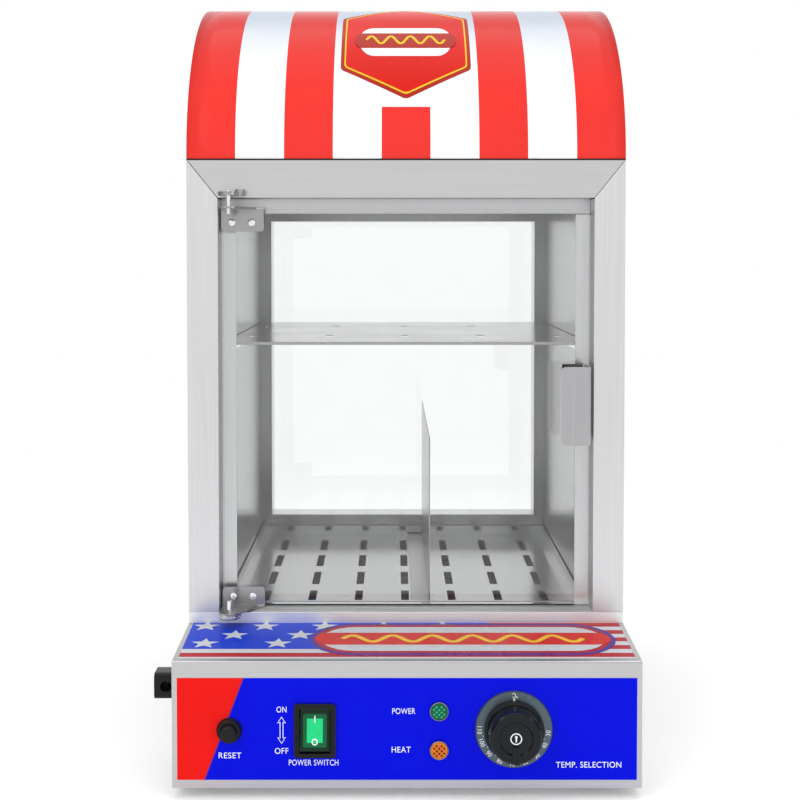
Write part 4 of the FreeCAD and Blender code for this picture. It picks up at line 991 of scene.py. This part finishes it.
fasteners = {
    "crownRings": 5,
    "sides": 28,
    "slotHalf": 0.11,          # half width of a recess arm, as a share of the head's radius
    "slotReach": 0.52,
    "slotDepth": 0.45,
}


def lathe(name, profile, sides, finish, sharp=None):
    # profile: (radius, height) from the middle of the face out and down. sharp: a hard edge's angle, degrees.
    work = bmesh.new()
    rings = []
    for radius, height in profile:
        loop = [(x, y, height) for x, y in circle(0, 0, radius, sides)] if radius > 1e-9 else [(0, 0, height)]
        rings.append([work.verts.new(point) for point in loop])
    for first, second in zip(rings, rings[1:]):
        for i in range(sides):
            j = (i + 1) % sides
            corners = [ring[k % len(ring)] for ring, k in ((first, i), (first, j), (second, j), (second, i))]
            work.faces.new(dict.fromkeys(corners))
    work.faces.new(rings[-1])
    bmesh.ops.recalc_face_normals(work, faces=work.faces)
    obj = newObject(name, toMesh(work, name), finish)
    smooth(obj, sharp)
    return obj


def smooth(obj, sharp):
    obj.data.shade_smooth()
    if sharp:
        obj.data.set_sharp_from_angle(angle=math.radians(sharp))


def crown(radius, rise, rings):
    return [(radius * math.sin(math.pi / 2 * i / rings), rise * math.cos(math.pi / 2 * i / rings))
            for i in range(rings + 1)]


def makeScrewMaster():
    # Pan head of radius 1 with a cross recess, flat below.
    head = lathe("screwMaster", [(r, 0.3 + h) for r, h in crown(1, 0.42, fasteners["crownRings"])] + [(1, 0)],
                 fasteners["sides"], "pin")
    half, reach = fasteners["slotHalf"], fasteners["slotReach"]
    arms = [(half, half), (half, reach), (-half, reach), (-half, half), (-reach, half), (-reach, -half),
            (-half, -half), (-half, -reach), (half, -reach), (half, -half), (reach, -half), (reach, half)]
    deep = 0.72 - fasteners["slotDepth"]
    cross = layShape("recess", arms, lambda u, v, lift: Vector((u, v, lift)), deep, 1.0, "joint")
    cutter = head.modifiers.new("recess", "BOOLEAN")
    cutter.operation, cutter.object, cutter.solver = "DIFFERENCE", cross, "EXACT"
    settle(head)
    bpy.data.objects.remove(cross)
    smooth(head, 38)
    return head


def makeRivetMaster():
    profile = crown(1, 0.45, fasteners["crownRings"]) + [(1, -0.1)]
    return lathe("rivetMaster", profile, fasteners["sides"], "hinge", sharp=50)


def makeFastenerTree():
    tree, given, out = geometryTree("fastenerHeads", Object=["Head"], Float=["Radius", "Shank", "Length"],
                                    Material=["Metal"])
    head = add(tree, "GeometryNodeObjectInfo", {"Object": given["Head"]}).outputs["Geometry"]
    shank = add(tree, "GeometryNodeMeshCylinder", {
        "Vertices": 16, "Radius": given["Shank"], "Depth": given["Length"]}).outputs["Mesh"]
    drop = add(tree, "ShaderNodeCombineXYZ", {"Z": maths(tree, "MULTIPLY", given["Length"], -0.5)}).outputs[0]
    sunk = add(tree, "GeometryNodeTransform", {"Geometry": shank, "Translation": drop}).outputs[0]
    whole = add(tree, "GeometryNodeJoinGeometry", {"Geometry": head})
    tree.links.new(sunk, whole.inputs[0])
    turn = add(tree, "GeometryNodeInputNamedAttribute", {"Name": "turn"}, data_type="FLOAT_VECTOR").outputs[0]
    size = add(tree, "ShaderNodeCombineXYZ", {axis: given["Radius"] for axis in "XYZ"}).outputs[0]
    copies = copiesAt(tree, given["Geometry"], whole.outputs[0], Rotation=turn, Scale=size)
    tree.links.new(painted(tree, copies, given["Metal"]), out)
    return tree


def facingTurn(direction, spin):
    aimed = Vector(direction).to_track_quat("Z", "Y")
    return (aimed @ Matrix.Rotation(spin, 3, "Z").to_quaternion()).to_euler()


fastenerSets = {
    # node: (master, its height as a share of its radius, way it faces, shank share, metal)
    "hinge_screws": ("screw", 0.72, (0, -1, 0), 0.5, "pin"),
    "handle_screws": ("screw", 0.72, (0, -1, 0), 0.5, "pin"),
    "foot_screws": ("screw", 0.72, (0, 0, -1), 0.45, "zinc"),
    "wall_rivets": ("rivet", 0.45, (1, 0, 0), 0.4, "hinge"),
}


def makeFasteners():
    tree = makeFastenerTree()
    masters = {"screw": makeScrewMaster(), "rivet": makeRivetMaster()}
    for node, (kind, share, facing, shank, metal) in fastenerSets.items():
        facing = Vector(facing)
        axis = max(range(3), key=lambda i: abs(facing[i]))
        solids = solidCentres(node)
        radius = solids[0][1][(axis + 1) % 3]
        length = 2 * solids[0][1][axis] / radius - share
        places, turns = [], []
        for i, (centre, half) in enumerate(solids):
            # Rivets on the two walls face each other, and driven screws all stop at a different turn.
            way = facing if kind == "screw" else -facing * math.copysign(1, centre.x)
            places.append(centre + way * (half[axis] - share * radius))
            turns.append(facingTurn(way, 0.35 + 1.3 * i))
        obj = pointMesh(camel(node), places)
        spins = obj.data.attributes.new("turn", "FLOAT_VECTOR", "POINT")
        for i, turn in enumerate(turns):
            spins.data[i].vector = turn
        runTree(obj, tree, Head=masters[kind], Radius=radius, Shank=shank, Length=length,
                Metal=finishes[metal])
        standFor(obj, node)
    for master in masters.values():
        bpy.data.objects.remove(master)


makeFasteners()
print("fasteners set")


# Power switch: a raised rim round the rocker, the lit window in it and the marks for on and off.

switch = {
    "rim": (0.0118, 0.0138), "rimWide": 0.0010, "rimHigh": 0.0005, "round": 0.0045, "sunk": -0.0002,
    "zone": (0.0090, 0.0122), "window": (0.0061, 0.0088), "lift": 0.00015,
    "markLine": 0.0009, "markLong": 0.0052, "ringOut": 0.0024, "ringIn": 0.0015,
}


def makeSwitch():
    spot = middle("rocker")
    onRocker = surfaceUnder("rocker")
    lift = switch["lift"]
    wide, tall = switch["rim"]
    band = switch["rimWide"]
    levels = [spot.z + i / 10 * tall for i in range(-10, 11)]

    def boxed(wide, tall, radius):
        corners = [(spot.x - wide, spot.z - tall), (spot.x + wide, spot.z - tall),
                   (spot.x + wide, spot.z + tall), (spot.x - wide, spot.z + tall)]
        return rounded(corners, radius)

    mount(joinUp("rockerFace", [
        layRing("rim", boxed(wide, tall, switch["round"]),
                boxed(wide - band, tall - band, switch["round"] - band),
                onRocker, switch["sunk"], switch["rimHigh"], "greenShell", levels),
        layShape("zone", boxed(*switch["zone"], 0.0016), onRocker, switch["sunk"], lift, "greenBody", levels),
        layShape("window", boxed(*switch["window"], 0.0004), onRocker, 0, 2 * lift, "greenWindow", levels),
    ]), "rocker", "green_plastic")
    film = (onRocker, 0, 3 * lift, "print", levels)
    line, tall = switch["markLine"] / 2, switch["window"][1]
    top = spot.z + tall + 0.0022
    foot = top - switch["markLong"]
    ringAt = spot.z - tall + 0.0006
    bar = [(spot.x - line, foot), (spot.x + line, foot), (spot.x + line, top), (spot.x - line, top)]
    outer, inner = (circle(spot.x, ringAt, switch[key], 32) for key in ("ringOut", "ringIn"))
    parts = [layShape("onMark", bar, *film), layRing("offMark", outer, inner, *film)]
    mount(joinUp("rockerMarks", parts), "rocker", "green_plastic")


makeSwitch()


# Pilot lamps: a bright ring, a domed lens and the cut facets on it from a geometry tree. The facets are
# lighter green and darker orange than their lens: painted highlight and painted shade.

lamp = {
    "ring": 0.0006, "dome": 0.0016, "domeRings": 8, "sides": 48, "seat": -0.0018,
    "facets": 6, "facetRise": 0.0012,
}


def makeFacetTree():
    tree, given, out = geometryTree("lensFacets", Float=["Radius", "Rise", "Dome"], Int=["Count"],
                                    Material=["Lens"])
    size = maths(tree, "MULTIPLY", given["Radius"], 2.0)
    grid = add(tree, "GeometryNodeMeshGrid", {
        "Size X": size, "Size Y": size, "Vertices X": given["Count"], "Vertices Y": given["Count"]})
    spot = add(tree, "GeometryNodeInputPosition").outputs[0]
    reach = add(tree, "ShaderNodeVectorMath", {0: spot}, operation="LENGTH").outputs["Value"]
    step = maths(tree, "DIVIDE", size, given["Count"])
    limit = maths(tree, "SUBTRACT", given["Radius"], maths(tree, "MULTIPLY", step, 0.62))
    outside = maths(tree, "GREATER_THAN", reach, limit)
    kept = add(tree, "GeometryNodeDeleteGeometry", {"Geometry": grid.outputs["Mesh"], "Selection": outside})
    share = maths(tree, "DIVIDE", reach, given["Radius"])
    fall = maths(tree, "SUBTRACT", 1.0, maths(tree, "MULTIPLY", share, share))
    up = add(tree, "ShaderNodeCombineXYZ", {"Z": maths(tree, "MULTIPLY", fall, given["Dome"])}).outputs[0]
    domed = add(tree, "GeometryNodeSetPosition", {"Geometry": kept.outputs[0], "Offset": up})
    cone = add(tree, "GeometryNodeMeshCone", {
        "Vertices": 4, "Radius Bottom": maths(tree, "MULTIPLY", step, 0.5), "Radius Top": 0.0,
        "Depth": given["Rise"]})
    turned = add(tree, "GeometryNodeTransform", {
        "Geometry": cone.outputs["Mesh"], "Rotation": (0, 0, math.radians(45))})
    copies = copiesAt(tree, domed.outputs[0], turned.outputs[0])
    tree.links.new(painted(tree, copies, given["Lens"]), out)
    return tree


def standUp(obj, place):
    # Turns a piece made along +Z so that it faces the front, at its place.
    obj.data.transform(Matrix.Translation(place) @ Matrix.Rotation(math.radians(90), 4, "X"))
    return obj


def makeLamps():
    tree = makeFacetTree()
    right, seat = edges("lamp_bodies")[1:3]
    low, sides = lamp["seat"], lamp["sides"]
    for name in ("power", "heat"):
        node = name + "_lamp_lens"
        colour = "green" if name == "power" else "orange"
        spot = middle(node)
        place = (spot.x, seat, spot.z)
        radius = right - spot.x
        inner = radius - lamp["ring"]
        section = [(inner, -0.0005), (inner, 0.0001), (inner + lamp["ring"] * 0.3, 0.0004),
                   (radius - 0.0002, 0.0003), (radius, 0), (radius, low), (inner, low)]
        ring = lathe(name + "LampRing", section, sides, "hinge")
        mount(standUp(ring, place), "cabinet", "black_plastic")
        domed = [(r * inner, h * lamp["dome"] - 0.0003) for r, h in crown(1, 1, lamp["domeRings"])]
        body = lathe("lensBody", domed + [(inner, low)], sides, colour + "Lens")
        # The facets take a lens colour changed as painted light: lighter for green, darker for orange.
        facets = runTree(newObject("facets", bpy.data.meshes.new("facets")), tree, Radius=inner,
                         Count=lamp["facets"], Rise=lamp["facetRise"], Dome=lamp["dome"],
                         Lens=finishes[colour + "Facet"])
        facets.data.transform(Matrix.Rotation(math.radians(45), 4, "Z"))
        lens = joinUp(name + "LampLens", [body, facets])
        mount(standUp(lens, place), "cabinet", colour + "_lens", node)


makeLamps()
refine("lamp_bodies", "black", 0.2)


# Dial: numbers, dots and the pointer print on the skirt, and a ring mark on the knob.

dial = {
    "numbers": range(30, 111, 10), "first": 95.0, "last": 270.0,      # clockwise from the top, in degrees
    "numberRadius": 0.0262, "dotRadius": 0.0240, "capital": 0.0034,
    "ring": (0.0044, 0.0036), "bar": (0.0010, 0.0021), "lift": 0.00012,
}


def makeDialPrint():
    spot = middle("dial_skirt")
    lift = dial["lift"]
    skirtFilm, knobFilm = ((surfaceUnder(node), -lift, lift, "print") for node in ("dial_skirt", "knob"))
    parts = []
    numbers = list(dial["numbers"])
    pitch = (dial["last"] - dial["first"]) / (len(numbers) - 1)

    def at(clock, radius):
        turn = math.radians(clock)
        return spot.x + radius * math.sin(turn), spot.z + radius * math.cos(turn)

    def dot(place, radius, sides):
        parts.append(layShape("dot", circle(*place, radius, sides), *skirtFilm))

    for i, number in enumerate(numbers):
        clock = dial["first"] + i * pitch
        parts.append(layText(str(number), *at(clock, dial["numberRadius"]), dial["capital"], *skirtFilm,
                             turn=math.radians(180 - clock)))
        if i < len(numbers) - 1:
            dot(at(clock + pitch / 2, dial["dotRadius"]), 0.0004, 12)
    # The degree sign and its letter stand at the top, over a larger dot.
    u, v = at(0, dial["numberRadius"] + 0.0006)
    parts.append(layText("C", u, v, dial["capital"], *skirtFilm, turn=math.pi))
    outer, inner = (circle(u + 0.0021, v - 0.0014, radius, 16) for radius in (0.00075, 0.00042))
    parts.append(layRing("degreeRing", outer, inner, *skirtFilm))
    dot(at(0, dial["dotRadius"] - 0.0004), 0.00085, 20)
    mount(joinUp("dialNumbers", parts), "dial", "dial_plastic")
    half, tall = dial["bar"]
    outer, inner = (circle(spot.x, spot.z, radius) for radius in dial["ring"])
    bar = [(spot.x + v, spot.z - 0.0004 + u) for u, v in capsule(0, 0, tall, half * 0.55, 8)]
    mark = [layRing("knobRing", outer, inner, *knobFilm), layShape("knobBar", bar, *knobFilm),
            layShape("knobDot", circle(spot.x, spot.z + 0.0014, half, 20), *knobFilm)]
    mount(joinUp("knobMark", mark), "dial", "dial_plastic")


makeDialPrint()
print("switch, lamps and dial done")


# Studio: pale floor, plain backdrop and soft light.

studio = {
    "floor": (0.93, 0.93, 0.935, 1),
    "floorGlow": 0.14,
    "fadeFrom": 0.55, "fadeTo": 1.5,
    "world": 1.1,
    "sides": 0.3,
    "lamps": [
        # place, aim, size, power
        ((-1.5, -1.7, 1.7), (0, 0, 0.35), 1.4, 12),
        ((1.8, -1.3, 1.1), (0, 0, 0.3), 1.2, 7),
        ((0, 0.2, 2.4), (0, 0, 0.3), 1.8, 12),
    ],
}


def makeFloor():
    work = bmesh.new()
    bmesh.ops.create_grid(work, x_segments=1, y_segments=1, size=40)
    floor = newObject("studioFloor", toMesh(work, "studioFloor"))
    material, tree, shader = newShader("studioFloor", Roughness=0.75, Specular_IOR_Level=0.0,
                                       Emission_Color=(1, 1, 1, 1))
    spot = objectSpace(tree)
    near = mixColour(tree, noise(tree, spot, 3.0, 4.0), studio["floor"], shade(studio["floor"], 1.02))
    # The floor fades into the white backdrop, so that no horizon shows.
    reach = add(tree, "ShaderNodeVectorMath", {0: spot}, operation="LENGTH").outputs["Value"]
    far = ranged(tree, reach, 0.0, 1.0, studio["fadeFrom"], studio["fadeTo"])
    wire(tree, shader, Base_Color=mixColour(tree, far, near, (0, 0, 0, 1)),
         Emission_Strength=ranged(tree, far, studio["floorGlow"], 1.0))
    floor.data.materials.append(material)


def makeWorld():
    world = bpy.data.worlds.new("studioWorld")
    bpy.context.scene.world = world
    world.use_nodes = True
    sky = world.node_tree
    aim = add(sky, "ShaderNodeSeparateXYZ", {0: add(sky, "ShaderNodeTexCoord").outputs["Generated"]})
    # Bright in front, behind and overhead, darker to the sides, so that bare metal shows its shape.
    ahead = maths(sky, "ABSOLUTE", aim.outputs["Y"])
    upward = maths(sky, "MAXIMUM", aim.outputs["Z"], 0.0)
    glow = ranged(sky, maths(sky, "MAXIMUM", ahead, upward), studio["sides"], studio["world"], 0.35, 0.95)
    seen = add(sky, "ShaderNodeLightPath").outputs
    direct = maths(sky, "MAXIMUM", seen["Is Camera Ray"], seen["Is Transmission Ray"])
    wire(sky, sky.nodes["Background"], Color=mixColour(sky, direct, glow, (1, 1, 1, 1)))


def makeSoftboxes():
    for i, (position, aim, size, power) in enumerate(studio["lamps"]):
        data = bpy.data.lights.new(f"softbox{i}", "AREA")
        data.size, data.energy = size, power
        light = bpy.data.objects.new(f"softbox{i}", data)
        light.location = position
        light.rotation_euler = (Vector(aim) - Vector(position)).to_track_quat("-Z", "Y").to_euler()
        bpy.context.scene.collection.objects.link(light)


makeFloor()
makeWorld()
makeSoftboxes()
bpy.context.scene.view_settings.view_transform = "Standard"
print("studio ready")

print("pieces:", len(pieceCount))
